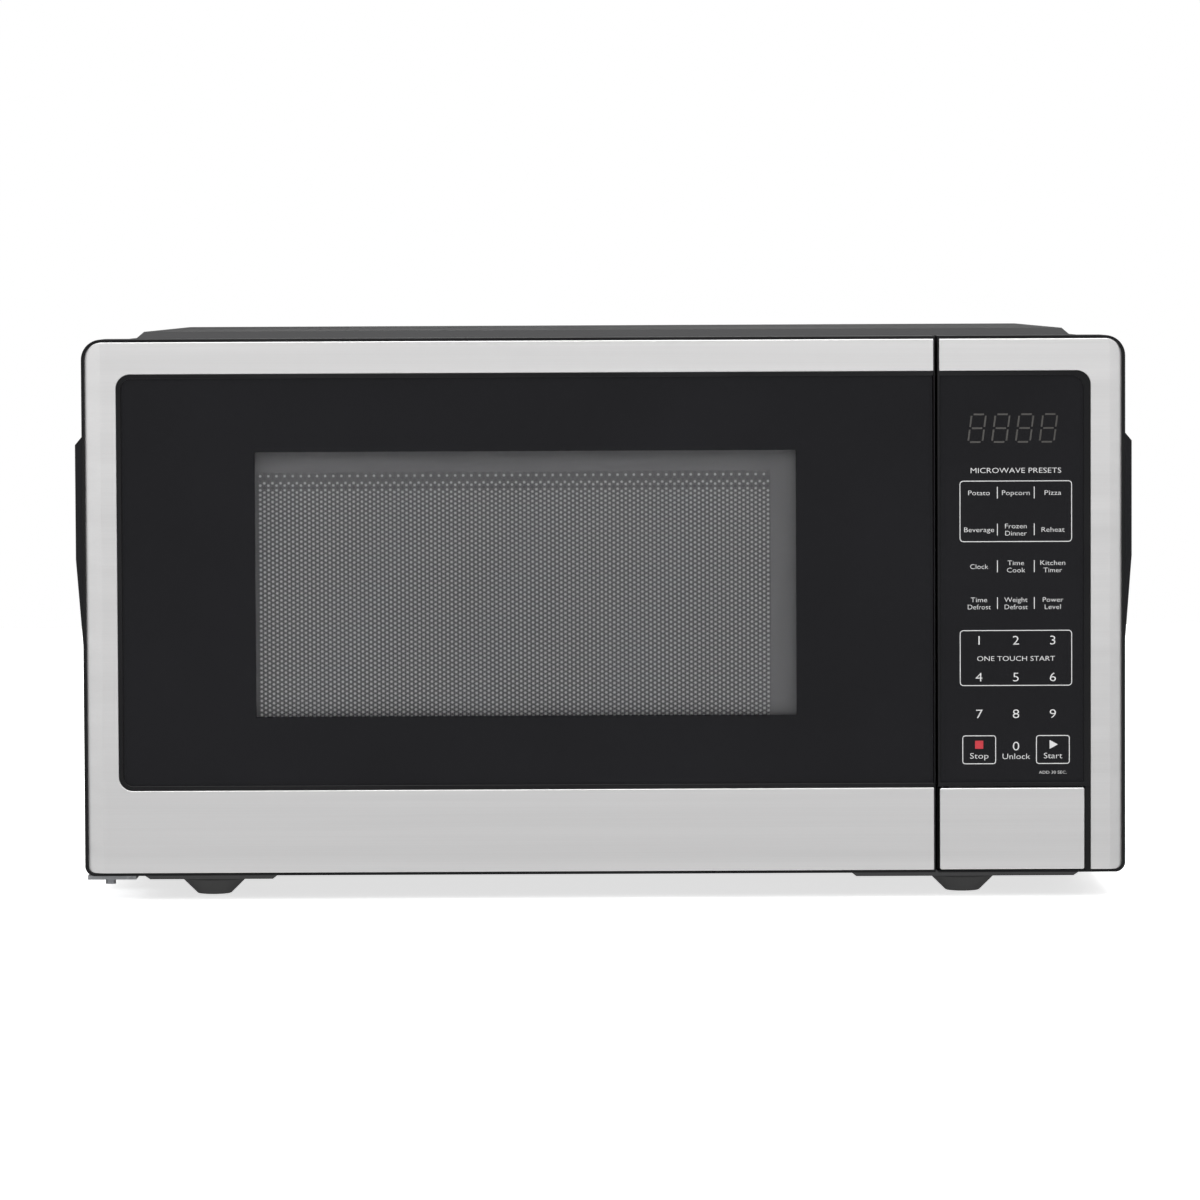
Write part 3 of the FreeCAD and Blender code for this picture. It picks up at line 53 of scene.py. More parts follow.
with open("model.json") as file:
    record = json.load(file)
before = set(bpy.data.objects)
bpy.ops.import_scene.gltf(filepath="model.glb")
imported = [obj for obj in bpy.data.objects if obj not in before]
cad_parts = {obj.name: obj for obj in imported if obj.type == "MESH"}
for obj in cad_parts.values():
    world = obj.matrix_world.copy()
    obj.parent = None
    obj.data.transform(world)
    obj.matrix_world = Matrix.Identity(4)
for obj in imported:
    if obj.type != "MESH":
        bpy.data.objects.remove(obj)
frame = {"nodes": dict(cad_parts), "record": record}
cad_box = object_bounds()

MM = 0.001
PRINT_LIFT = 0.02 * MM


# ---------------------------------------------------------------- node trees

class Tree:
    """A node tree that grows node by node. Its inputs take plain values or other sockets."""

    def __init__(self, tree):
        self.tree = tree

    def add(self, kind, feeds=None, **settings):
        node = self.tree.nodes.new(kind)
        for name, value in settings.items():
            setattr(node, name, value)
        for name, value in (feeds or {}).items():
            self.feed(node.inputs[name], value)
        return node

    def feed(self, socket, value):
        if isinstance(value, bpy.types.NodeSocket):
            self.tree.links.new(value, socket)
        else:
            socket.default_value = value

    def maths(self, operation, first, second=0.0):
        node = self.add("ShaderNodeMath", operation=operation)
        self.feed(node.inputs[0], first)
        self.feed(node.inputs[1], second)
        return node.outputs[0]

    def vector(self, operation, first, second):
        node = self.add("ShaderNodeVectorMath", operation=operation)
        self.feed(node.inputs[0], first)
        self.feed(node.inputs[1], second)
        return node.outputs[0]

    def spread(self, value, low, high):
        """Stretches a 0 to 1 value over a range."""
        node = self.add("ShaderNodeMapRange", {"Value": value, "To Min": low, "To Max": high})
        return node.outputs[0]

    def blend(self, share, first, second):
        node = self.add("ShaderNodeMix", data_type="RGBA")
        for socket, value in zip((0, 6, 7), (share, first, second)):
            self.feed(node.inputs[socket], value)
        return node.outputs[2]


def effect(name, inputs, outputs):
    """An empty shader node group with named sockets, and its input and output nodes."""
    group = bpy.data.node_groups.new(name, "ShaderNodeTree")
    for label, kind, value in inputs:
        socket = group.interface.new_socket(name=label, in_out="INPUT", socket_type=kind)
        if value is not None:
            socket.default_value = value
    for label, kind in outputs:
        group.interface.new_socket(name=label, in_out="OUTPUT", socket_type=kind)
    tree = Tree(group)
    return group, tree, tree.add("NodeGroupInput").outputs, tree.add("NodeGroupOutput").inputs


NUMBER, COLOUR, VECTOR = "NodeSocketFloat", "NodeSocketColor", "NodeSocketVector"


def brushing_effect():
    """Fine parallel lines: grain drawn out along one axis, with broader bands under it."""
    group, tree, given, result = effect(
        "brushing",
        [("Place", VECTOR, None), ("Stretch", VECTOR, (1, 1, 1)), ("Dark", COLOUR, None),
         ("Light", COLOUR, None), ("Smooth", NUMBER, 0.285), ("Rough", NUMBER, 0.42)],
        [("Colour", COLOUR), ("Roughness", NUMBER), ("Height", NUMBER)])
    place = tree.vector("MULTIPLY", given["Place"], given["Stretch"])
    fine = tree.add("ShaderNodeTexNoise", {"Vector": place, "Scale": 1.0, "Detail": 5.0, "Roughness": 0.7})
    broad_place = tree.vector("MULTIPLY", place, (0.3, 0.07, 0.07))
    broad = tree.add("ShaderNodeTexNoise", {"Vector": broad_place, "Scale": 1.0, "Detail": 2.0})
    fine_share = tree.maths("MULTIPLY", fine.outputs[0], 0.55)
    broad_share = tree.maths("MULTIPLY", broad.outputs[0], 0.45)
    both = tree.maths("ADD", fine_share, broad_share)
    tree.feed(result["Colour"], tree.blend(both, given["Dark"], given["Light"]))
    tree.feed(result["Roughness"], tree.spread(both, given["Smooth"], given["Rough"]))
    tree.feed(result["Height"], fine.outputs[0])
    return group


def grain_effect():
    """Moulded or sprayed surface: an even fine texture, slow colour drift and handling marks."""
    group, tree, given, result = effect(
        "grain",
        [("Place", VECTOR, None), ("Grain Size", NUMBER, 600.0), ("Colour", COLOUR, None),
         ("Drift", NUMBER, 0.1), ("Smooth", NUMBER, 0.3), ("Rough", NUMBER, 0.45)],
        [("Colour", COLOUR), ("Roughness", NUMBER), ("Height", NUMBER)])
    place = given["Place"]
    fine = tree.add("ShaderNodeTexNoise", {"Vector": place, "Scale": given["Grain Size"], "Detail": 3.0})
    drift = tree.add("ShaderNodeTexNoise", {"Vector": place, "Scale": 9.0, "Detail": 4.0, "Roughness": 0.6})
    swing = tree.maths("MULTIPLY", tree.maths("SUBTRACT", drift.outputs[0], 0.5), given["Drift"])
    tone = tree.maths("ADD", 1.0, swing)
    tones = tree.add("ShaderNodeCombineXYZ", {"X": tone, "Y": tone, "Z": tone}).outputs[0]
    tree.feed(result["Colour"], tree.vector("MULTIPLY", given["Colour"], tones))
    marks = tree.add("ShaderNodeMapRange", {"Value": drift.outputs[0], "From Min": 0.35, "From Max": 0.65,
                                            "To Min": given["Smooth"], "To Max": given["Rough"]})
    tree.feed(result["Roughness"], marks.outputs[0])
    tree.feed(result["Height"], fine.outputs[0])
    return group


def pane_effect():
    """1 inside an upright rectangle, 0 outside it, with a crisp edge."""
    group, tree, given, result = effect(
        "pane",
        [("Place", VECTOR, None), ("Centre", VECTOR, None), ("Half Width", NUMBER, 0.1),
         ("Half Height", NUMBER, 0.1)],
        [("Inside", NUMBER)])
    away = tree.add("ShaderNodeVectorMath", operation="ABSOLUTE")
    tree.feed(away.inputs[0], tree.vector("SUBTRACT", given["Place"], given["Centre"]))
    parts = tree.add("ShaderNodeSeparateXYZ", {"Vector": away.outputs[0]}).outputs
    across = tree.maths("LESS_THAN", parts["X"], given["Half Width"])
    up = tree.maths("LESS_THAN", parts["Z"], given["Half Height"])
    tree.feed(result["Inside"], tree.maths("MULTIPLY", across, up))
    return group


BRUSHING, GRAIN, PANE = brushing_effect(), grain_effect(), pane_effect()


def finish(name):
    """A material with its own tree, its shader, and the object's coordinates."""
    material = bpy.data.materials.new(name)
    material.use_nodes = True
    material.node_tree.nodes.clear()
    tree = Tree(material.node_tree)
    shader = tree.add("ShaderNodeBsdfPrincipled")
    output = tree.add("ShaderNodeOutputMaterial")
    tree.feed(output.inputs["Surface"], shader.outputs[0])
    place = tree.add("ShaderNodeTexCoord").outputs["Object"]
    return material, tree, shader, place


def set_plain(shader, **values):
    for name, value in values.items():
        shader.inputs[name.replace("_", " ")].default_value = value


def bump(tree, shader, height, depth):
    """Turns a height in the range 0 to 1 into relief of that depth."""
    relief = tree.add("ShaderNodeBump", {"Height": height, "Strength": 1.0, "Distance": depth})
    tree.feed(shader.inputs["Normal"], relief.outputs[0])


def grained(name, colour, grain_size=600.0, drift=0.12, gloss=(0.3, 0.45), relief=0.02 * MM, **plain):
    """A moulded, sprayed or cast finish of one colour."""
    material, tree, shader, place = finish(name)
    grain = tree.add("ShaderNodeGroup", node_tree=GRAIN)
    for label, value in (("Place", place), ("Grain Size", grain_size), ("Colour", (*colour, 1)),
                         ("Drift", drift), ("Smooth", gloss[0]), ("Rough", gloss[1])):
        tree.feed(grain.inputs[label], value)
    tree.feed(shader.inputs["Base Color"], grain.outputs["Colour"])
    tree.feed(shader.inputs["Roughness"], grain.outputs["Roughness"])
    bump(tree, shader, grain.outputs["Height"], relief)
    set_plain(shader, **plain)
    return material


def brushed(name, dark, light, stretch, gloss=(0.285, 0.42)):
    """Brushed sheet metal, with the lines along the axis whose stretch is smallest."""
    material, tree, shader, place = finish(name)
    lines = tree.add("ShaderNodeGroup", node_tree=BRUSHING)
    for label, value in (("Place", place), ("Stretch", stretch), ("Dark", (*dark, 1)),
                         ("Light", (*light, 1)), ("Smooth", gloss[0]), ("Rough", gloss[1])):
        tree.feed(lines.inputs[label], value)
    tree.feed(shader.inputs["Base Color"], lines.outputs["Colour"])
    tree.feed(shader.inputs["Roughness"], lines.outputs["Roughness"])
    bump(tree, shader, lines.outputs["Height"], 0.004 * MM)
    set_plain(shader, Metallic=1.0)
    return material


def spangled(name):
    """Zinc-coated sheet with its crystal pattern."""
    material, tree, shader, place = finish(name)
    crystals = tree.add("ShaderNodeTexVoronoi", {"Vector": place, "Scale": 140.0, "Randomness": 1.0})
    shade = tree.add("ShaderNodeSeparateColor", {"Color": crystals.outputs["Color"]}).outputs[0]
    tree.feed(shader.inputs["Base Color"], tree.blend(shade, (0.50, 0.51, 0.53, 1), (0.66, 0.67, 0.68, 1)))
    tree.feed(shader.inputs["Roughness"], tree.spread(shade, 0.34, 0.48))
    set_plain(shader, Metallic=1.0)
    return material


def window_glass(name, pane):
    """Glass printed black on its back except for one clear pane."""
    (low_x, high_x), (low_z, high_z) = pane
    material, tree, shader, place = finish(name)
    clear = tree.add("ShaderNodeGroup", node_tree=PANE)
    centre = ((low_x + high_x) / 2, 0, (low_z + high_z) / 2)
    for label, value in (("Place", place), ("Centre", centre), ("Half Width", (high_x - low_x) / 2),
                         ("Half Height", (high_z - low_z) / 2)):
        tree.feed(clear.inputs[label], value)
    marks = tree.add("ShaderNodeTexNoise", {"Vector": place, "Scale": 14.0, "Detail": 3.0})
    black = tree.blend(marks.outputs[0], (0.0045, 0.0045, 0.005, 1), (0.007, 0.007, 0.008, 1))
    tree.feed(shader.inputs["Base Color"], black)
    tree.feed(shader.inputs["Roughness"], tree.spread(marks.outputs[0], 0.03, 0.09))
    tree.feed(shader.inputs["Alpha"], tree.spread(clear.outputs["Inside"], 1.0, 0.1))
    return material


def clear_glass(name, tint):
    material, tree, shader, place = finish(name)
    ripple = tree.add("ShaderNodeTexNoise", {"Vector": place, "Scale": 30.0, "Detail": 2.0})
    tree.feed(shader.inputs["Base Color"], tree.blend(ripple.outputs[0], (*tint, 1), (1, 1, 1, 1)))
    bump(tree, shader, ripple.outputs[0], 0.1 * MM)
    set_plain(shader, Roughness=0.02, Transmission_Weight=1.0, IOR=1.47)
    return material


def flaked(name, low, high):
    """Pressed mica sheet: overlapping translucent flakes with a pearly look."""
    material, tree, shader, place = finish(name)
    flakes = tree.add("ShaderNodeTexVoronoi", {"Vector": place, "Scale": 160.0})
    shade = tree.add("ShaderNodeSeparateColor", {"Color": flakes.outputs["Color"]}).outputs[0]
    tree.feed(shader.inputs["Base Color"], tree.blend(shade, (*low, 1), (*high, 1)))
    tree.feed(shader.inputs["Roughness"], tree.spread(shade, 0.3, 0.55))
    set_plain(shader, Metallic=0.25)
    return material


BORDER_LEFT, BORDER_RIGHT = 65.4 * MM, 67.3 * MM
BORDER_BELOW, BORDER_ABOVE = 33.7 * MM, 36.2 * MM


def window_pane():
    """The clear part of the door glass inside its printed border, as spans across and up."""
    low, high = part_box("door_glass")
    return (low.x + BORDER_LEFT, high.x - BORDER_RIGHT), (low.z + BORDER_BELOW, high.z - BORDER_ABOVE)


def make_finishes():
    """One finish for each material slot of the record."""
    return {
        "steel": brushed("brushed_steel", (0.74, 0.735, 0.73), (0.87, 0.865, 0.86), (6.0, 2200.0, 2200.0),
                         gloss=(0.42, 0.54)),
        "black_plastic": grained("black_plastic", (0.005, 0.005, 0.0055), 900.0, gloss=(0.28, 0.42),
                                 relief=0.01 * MM, Specular_IOR_Level=0.25),
        "black_glass": window_glass("printed_glass", window_pane()),
        "black_paint": grained("black_paint", (0.010, 0.010, 0.011), 420.0, gloss=(0.285, 0.37),
                               relief=0.05 * MM, Specular_IOR_Level=0.3),
        "cavity_enamel": grained("cavity_enamel", (0.46, 0.46, 0.45), 500.0, gloss=(0.285, 0.4)),
        "screen_metal": grained("screen_paint", (0.085, 0.085, 0.088), 700.0, gloss=(0.4, 0.5)),
        "clear_film": grained("window_film", (0.62, 0.62, 0.62), 200.0, 0.04, gloss=(0.285, 0.35),
                              relief=0.005 * MM),
        "feet": grained("foot_rubber", (0.018, 0.018, 0.018), 1200.0, gloss=(0.6, 0.75)),
        "zinc_steel": spangled("zinc_steel"),
        "tray_glass": clear_glass("tray_glass", (0.93, 0.97, 0.95)),
        "pale_plastic": grained("pale_plastic", (0.62, 0.61, 0.57), 700.0, 0.08),
        "switch_plastic": grained("switch_plastic", (0.32, 0.06, 0.03), 900.0, 0.15),
        "mica": flaked("mica", (0.42, 0.38, 0.28), (0.66, 0.62, 0.50)),
        "aluminium_parts": brushed("aluminium", (0.68, 0.69, 0.70), (0.84, 0.85, 0.86),
                                   (500.0, 60.0, 500.0)),
        "copper_tube": brushed("copper", (0.58, 0.25, 0.13), (0.84, 0.44, 0.27), (60.0, 800.0, 800.0)),
        "core_steel": brushed("core_laminations", (0.10, 0.10, 0.11), (0.24, 0.24, 0.25),
                              (40.0, 1800.0, 40.0)),
        "board": grained("circuit_board", (0.03, 0.16, 0.06), 260.0, 0.5, gloss=(0.285, 0.5)),
        "display": grained("display_module", (0.02, 0.018, 0.016), 500.0, gloss=(0.15, 0.25)),
        "lamp_glass": clear_glass("lamp_glass", (0.96, 0.94, 0.88)),
    }


FINISHES = make_finishes()


def finish_cad_nodes():
    """Gives every CAD piece the finish of the slot that the record names for it."""
    for part in frame["record"]["subparts"]:
        for spot in frame["nodes"][part["node"]].material_slots:
            spot.material = FINISHES[part["material_slot"]]


# ---------------------------------------------------------------- mesh helpers

def link(name, mesh, material=None):
    thing = bpy.data.objects.new(name, mesh)
    bpy.context.scene.collection.objects.link(thing)
    if material:
        mesh.materials.clear()
        mesh.materials.append(material)
    return thing


def settle(thing):
    """Turns an object with modifiers into one with a plain mesh."""
    graph = bpy.context.evaluated_depsgraph_get()
    graph.update()
    mesh = bpy.data.meshes.new_from_object(
        thing.evaluated_get(graph), preserve_all_data_layers=True, depsgraph=graph)
    thing.modifiers.clear()
    thing.data = mesh
    return thing


def hand_over(piece, body, slot, *replaced):
    """Puts a finished piece on its body, in place of its CAD nodes. The slot is not used."""
    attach(piece, body)
    if replaced:
        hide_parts(*replaced)
    return piece


FLAT_ANGLE = math.radians(0.5)
SHARP_ANGLE = math.radians(12)
ROUNDED_ANGLE = math.radians(28)


def softened(node, name, body, slot, width):
    """A copy of a CAD piece with its edges rounded, which stands for it."""
    build = bmesh.new()
    build.from_mesh(frame["nodes"][node].data)
    bmesh.ops.remove_doubles(build, verts=build.verts, dist=0.001 * MM)
    bmesh.ops.dissolve_limit(build, angle_limit=FLAT_ANGLE, verts=build.verts, edges=build.edges)
    mesh = bpy.data.meshes.new(name)
    build.to_mesh(mesh)
    build.free()
    mesh.shade_smooth()
    mesh.set_sharp_from_angle(angle=SHARP_ANGLE)
    piece = link(name, mesh, FINISHES[slot])
    rounding = piece.modifiers.new("rounding", "BEVEL")
    rounding.width = width
    rounding.segments = 3
    rounding.limit_method = "ANGLE"
    rounding.angle_limit = ROUNDED_ANGLE
    rounding.miter_outer = "MITER_ARC"
    rounding.harden_normals = True
    settle(piece)
    return hand_over(piece, body, slot, node)


# ---------------------------------------------------------------- window screen

HOLE_PITCH = 2.31 * MM
HOLE_SIZE = 0.715 * MM
COLUMN_PITCH = HOLE_PITCH * math.cos(math.radians(30))
SHEET = 0.5 * MM
PLUGGED_LEVELS = (1, 2, 5)
FIELD_LEFT, FIELD_RIGHT, FIELD_TOP = 2.6 * MM, 14.7 * MM, 12.0 * MM


def screen_lattice():
    """Hole centres of the window screen, in the X-Z plane, and which of them are punched.
    A level is half a pitch down. Three of the levels near the top are left unpunched."""
    (low_x, high_x), (low_z, high_z) = window_pane()
    first = low_x + FIELD_LEFT
    start_z = high_z - FIELD_TOP
    columns = round((high_x - FIELD_RIGHT - first) / COLUMN_PITCH) + 1
    rows = math.ceil((start_z - low_z) / HOLE_PITCH) + 1
    spots, punched = [], []
    for column in range(-1, columns + 1):
        for row in range(-1, rows):
            level = 2 * row + column % 2
            spots.append((first + column * COLUMN_PITCH, 0, start_z - level * HOLE_PITCH / 2))
            punched.append(level >= 0 and level not in PLUGGED_LEVELS and 0 <= column < columns)
    edges = (first - COLUMN_PITCH / 2, first + (columns - 0.5) * COLUMN_PITCH)
    heights = (start_z - (rows - 1.5) * HOLE_PITCH, start_z + 0.75 * HOLE_PITCH)
    return spots, punched, edges, heights


def perforation_tree():
    """Geometry nodes that turn marked points into a perforated sheet of six-sided holes."""
    group = bpy.data.node_groups.new("perforations", "GeometryNodeTree")
    group.interface.new_socket(name="Points", in_out="INPUT", socket_type="NodeSocketGeometry")
    for label in ("Pitch", "Hole Radius", "Thickness"):
        group.interface.new_socket(name=label, in_out="INPUT", socket_type=NUMBER)
    group.interface.new_socket(name="Finish", in_out="INPUT", socket_type="NodeSocketMaterial")
    group.interface.new_socket(name="Sheet", in_out="OUTPUT", socket_type="NodeSocketGeometry")
    tree = Tree(group)
    given = tree.add("NodeGroupInput").outputs
    pitch, radius = given["Pitch"], given["Hole Radius"]

    def put(geometry, distance, angle, turn):
        """Moves a flat shape out along an angle in the plane, turned by another."""
        reach = tree.add("ShaderNodeCombineXYZ", {
            "X": tree.maths("MULTIPLY", distance, math.cos(math.radians(angle))),
            "Y": tree.maths("MULTIPLY", distance, math.sin(math.radians(angle)))})
        return tree.add("GeometryNodeTransform", {
            "Geometry": geometry, "Translation": reach.outputs[0],
            "Rotation": (0, 0, math.radians(turn))}).outputs[0]

    web_length = tree.maths("SUBTRACT", pitch, tree.maths("MULTIPLY", radius, math.sqrt(3)))
    web = tree.add("GeometryNodeMeshGrid",
                   {"Size X": web_length, "Size Y": radius, "Vertices X": 2, "Vertices Y": 2})
    half_pitch = tree.maths("MULTIPLY", pitch, 0.5)
    knot_distance = tree.maths("MULTIPLY", pitch, 1 / math.sqrt(3))
    knot_radius = tree.maths("SUBTRACT", knot_distance, radius)
    knot = tree.add("GeometryNodeMeshCircle", {"Vertices": 3, "Radius": knot_radius}, fill_type="NGON")
    face = tree.add("GeometryNodeJoinGeometry")
    for angle in (30, 90, 150):
        tree.feed(face.inputs[0], put(web.outputs[0], half_pitch, angle, angle))
    for angle in (60, 120):
        tree.feed(face.inputs[0], put(knot.outputs[0], knot_distance, angle, angle))
    plug = tree.add("GeometryNodeMeshCircle", {"Vertices": 6, "Radius": radius}, fill_type="NGON").outputs[0]

    depth = tree.maths("MULTIPLY", given["Thickness"], -1.0)
    drop = tree.add("ShaderNodeCombineXYZ", {"Z": depth}).outputs[0]

    def both_sides(flat):
        under = tree.add("GeometryNodeTransform", {"Geometry": flat, "Translation": drop}).outputs[0]
        both = tree.add("GeometryNodeJoinGeometry")
        tree.feed(both.inputs[0], flat)
        tree.feed(both.inputs[0], tree.add("GeometryNodeFlipFaces", {"Mesh": under}).outputs[0])
        return both.outputs[0]

    ring = tree.add("GeometryNodeMeshCircle", {"Vertices": 6, "Radius": radius}, fill_type="NONE").outputs[0]
    wall = tree.add("GeometryNodeExtrudeMesh", {"Mesh": ring, "Offset": drop, "Offset Scale": 1.0},
                    mode="EDGES").outputs[0]
    punched = tree.add("GeometryNodeInputNamedAttribute", {"Name": "punched"},
                       data_type="BOOLEAN").outputs[0]
    unpunched = tree.add("FunctionNodeBooleanMath", operation="NOT")
    tree.feed(unpunched.inputs[0], punched)
    sheet = tree.add("GeometryNodeJoinGeometry")
    upright = (math.radians(90), 0, 0)
    for shape, chosen in ((both_sides(face.outputs[0]), True), (wall, punched),
                          (both_sides(plug), unpunched.outputs[0])):
        copies = tree.add("GeometryNodeInstanceOnPoints", {
            "Points": given["Points"], "Selection": chosen, "Instance": shape, "Rotation": upright})
        tree.feed(sheet.inputs[0], copies.outputs[0])
    real = tree.add("GeometryNodeRealizeInstances", {"Geometry": sheet.outputs[0]}).outputs[0]
    welded = tree.add("GeometryNodeMergeByDistance", {"Geometry": real, "Distance": 0.01 * MM}).outputs[0]
    painted = tree.add("GeometryNodeSetMaterial",
                       {"Geometry": welded, "Material": given["Finish"]}).outputs[0]
    tree.feed(tree.add("NodeGroupOutput").inputs[0], painted)
    return group


def run_tree(thing, tree, **values):
    """Puts a geometry node tree on an object, sets its named inputs and keeps the plain result."""
    modifier = thing.modifiers.new(tree.name, "NODES")
    modifier.node_group = tree
    identifiers = {socket.name: socket.identifier
                   for socket in tree.interface.items_tree if socket.in_out == "INPUT"}
    for label, value in values.items():
        modifier[identifiers[label.replace("_", " ")]] = value
    return settle(thing)


def plate_with_window(build, outer, inner, y):
    """A flat frame between two upright rectangles, each (x span, z span), at one depth.
    Gives back its outer corners."""
    def corners(spans):
        (x0, x1), (z0, z1) = spans
        return [build.verts.new((x, y, z)) for x, z in ((x0, z0), (x1, z0), (x1, z1), (x0, z1))]
    outside, inside = corners(outer), corners(inner)
    for number in range(4):
        following = (number + 1) % 4
        build.faces.new((outside[number], outside[following], inside[following], inside[number]))
    return outside


def window_screen():
    """Punched field of the door screen, and the dished pan around it."""
    spots, punched, edges, heights = screen_lattice()
    low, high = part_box("door_screen")
    points = bpy.data.meshes.new("window_screen")
    points.from_pydata([(x, low.y + 0.1 * MM, z) for x, _, z in spots], [], [])
    points.attributes.new("punched", "BOOLEAN", "POINT").data.foreach_set("value", punched)
    field = link("window_screen", points)
    run_tree(field, perforation_tree(), Pitch=HOLE_PITCH, Hole_Radius=HOLE_SIZE, Thickness=SHEET,
             Finish=FINISHES["screen_metal"])
    hand_over(field, "door", "screen_metal", "door_screen")

    build = bmesh.new()
    outer = ((low.x + SHEET, high.x - SHEET), (low.z + SHEET, high.z - SHEET))
    front = plate_with_window(build, outer, (edges, heights), low.y + 0.08 * MM)
    for number in range(4):
        following = (number + 1) % 4
        rims = [build.verts.new((front[k].co.x, high.y, front[k].co.z)) for k in (number, following)]
        build.faces.new((front[following], front[number], rims[0], rims[1]))
    bmesh.ops.remove_doubles(build, verts=build.verts, dist=0.001 * MM)
    mesh = bpy.data.meshes.new("screen_pan")
    build.to_mesh(mesh)
    build.free()
    pan = link("screen_pan", mesh, FINISHES["screen_metal"])
    wall = pan.modifiers.new("wall", "SOLIDIFY")
    wall.thickness = 0.4 * MM
    wall.offset = -1.0
    edge = pan.modifiers.new("edge", "BEVEL")
    edge.width = 0.15 * MM
    edge.segments = 2
    settle(pan)
    hand_over(pan, "door", "screen_metal")


# ---------------------------------------------------------------- control panel print

KEY_PITCH = 18.15 * MM
KEY_ROWS = (
    ("Potato", "Popcorn", "Pizza"),
    ("Beverage", "Frozen Dinner", "Reheat"),
    ("Clock", "Time Cook", "Kitchen Timer"),
    ("Time Defrost", "Weight Defrost", "Power Level"),
    ("1", "2", "3"),
    ("4", "5", "6"),
    ("7", "8", "9"),
)
CAPITAL_SHARE = 0.73
LEGEND_HEIGHT = 2.45 * MM
DIGIT_HEIGHT = 4.6 * MM
LINE_WIDTH = 0.4 * MM
LETTER_STRETCH = 1.2
STROKE_THINNING = 0.012
# Widths of the printed words, in millimetres.
WORD_WIDTHS = {
    "MICROWAVE PRESETS": 44.5, "ONE TOUCH START": 38.3, "Potato": 10.6, "Popcorn": 13.6, "Pizza": 8.2,
    "Beverage": 14.7, "Frozen": 10.6, "Dinner": 10.6, "Reheat": 11.3, "Clock": 8.9, "Kitchen": 12.2,
    "Timer": 9.1, "Defrost": 11.3, "Weight": 11.4, "Power": 10.1, "Level": 7.9, "Stop": 9.1, "Start": 9.1,
    "Unlock": 13.6,
}


def panel_point(x, z):
    """A point on the face of the panel glass, from its lower left corner."""
    low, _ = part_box("panel_glass")
    return Vector((low.x + x, low.y - PRINT_LIFT, low.z + z))


def key_spot(column, row):
    """The centre of a key, from the lower left corner of the panel glass."""
    return 37.5 * MM + (column - 1) * KEY_PITCH, 142.9 * MM - row * KEY_PITCH


def lettering(build, words, x, z, capital_height):
    """Adds a printed word, centred on a point of the panel glass, and drawn out to its width if that is
    in the list."""
    curve = bpy.data.curves.new("word", "FONT")
    curve.body = words
    curve.align_x = "CENTER"
    curve.resolution_u = 3
    curve.size = capital_height / CAPITAL_SHARE
    curve.offset = -STROKE_THINNING * capital_height
    text = bpy.data.objects.new("word", curve)
    bpy.context.scene.collection.objects.link(text)
    graph = bpy.context.evaluated_depsgraph_get()
    mesh = bpy.data.meshes.new_from_object(text.evaluated_get(graph))
    bpy.data.objects.remove(text)
    places = [vertex.co.x for vertex in mesh.vertices]
    stretch = LETTER_STRETCH
    if words in WORD_WIDTHS:
        stretch = WORD_WIDTHS[words] * MM / (max(places) - min(places))
    upright = Euler((math.radians(90), 0, 0)).to_matrix().to_4x4() @ Matrix.Diagonal((stretch, 1, 1, 1))
    mesh.transform(Matrix.Translation(panel_point(x, z - capital_height / 2)) @ upright)
    build.from_mesh(mesh)
    bpy.data.meshes.remove(mesh)


def flat_shape(build, points):
    """Adds one flat printed shape, its points counter-clockwise on the panel glass."""
    build.faces.new([build.verts.new(panel_point(x, z)) for x, z in points])


RECTANGLE = ((-1, -1), (1, -1), (1, 1), (-1, 1))


def bar(build, x, z, width, height):
    flat_shape(build, [(x + i * width / 2, z + k * height / 2) for i, k in RECTANGLE])


def outline(build, x, z, width, height, radius):
    """A rounded printed frame."""
    rings = []
    for inset in (0.0, LINE_WIDTH):
        points = []
        for (i, k), start in zip(((1, 1), (-1, 1), (-1, -1), (1, -1)), (0, 90, 180, 270)):
            corner = Vector((x + i * (width / 2 - radius), z + k * (height / 2 - radius)))
            for step in range(5):
                angle = math.radians(start + 22.5 * step)
                points.append(corner + (radius - inset) * Vector((math.cos(angle), math.sin(angle))))
        rings.append([build.verts.new(panel_point(*point)) for point in points])
    outer, inner = rings
    for number in range(len(outer)):
        following = (number + 1) % len(outer)
        build.faces.new((outer[number], outer[following], inner[following], inner[number]))


def printed_piece(name, build, material):
    mesh = bpy.data.meshes.new(name)
    build.to_mesh(mesh)
    build.free()
    piece = link(name, mesh, material)
    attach(piece, "oven_body")
    return piece


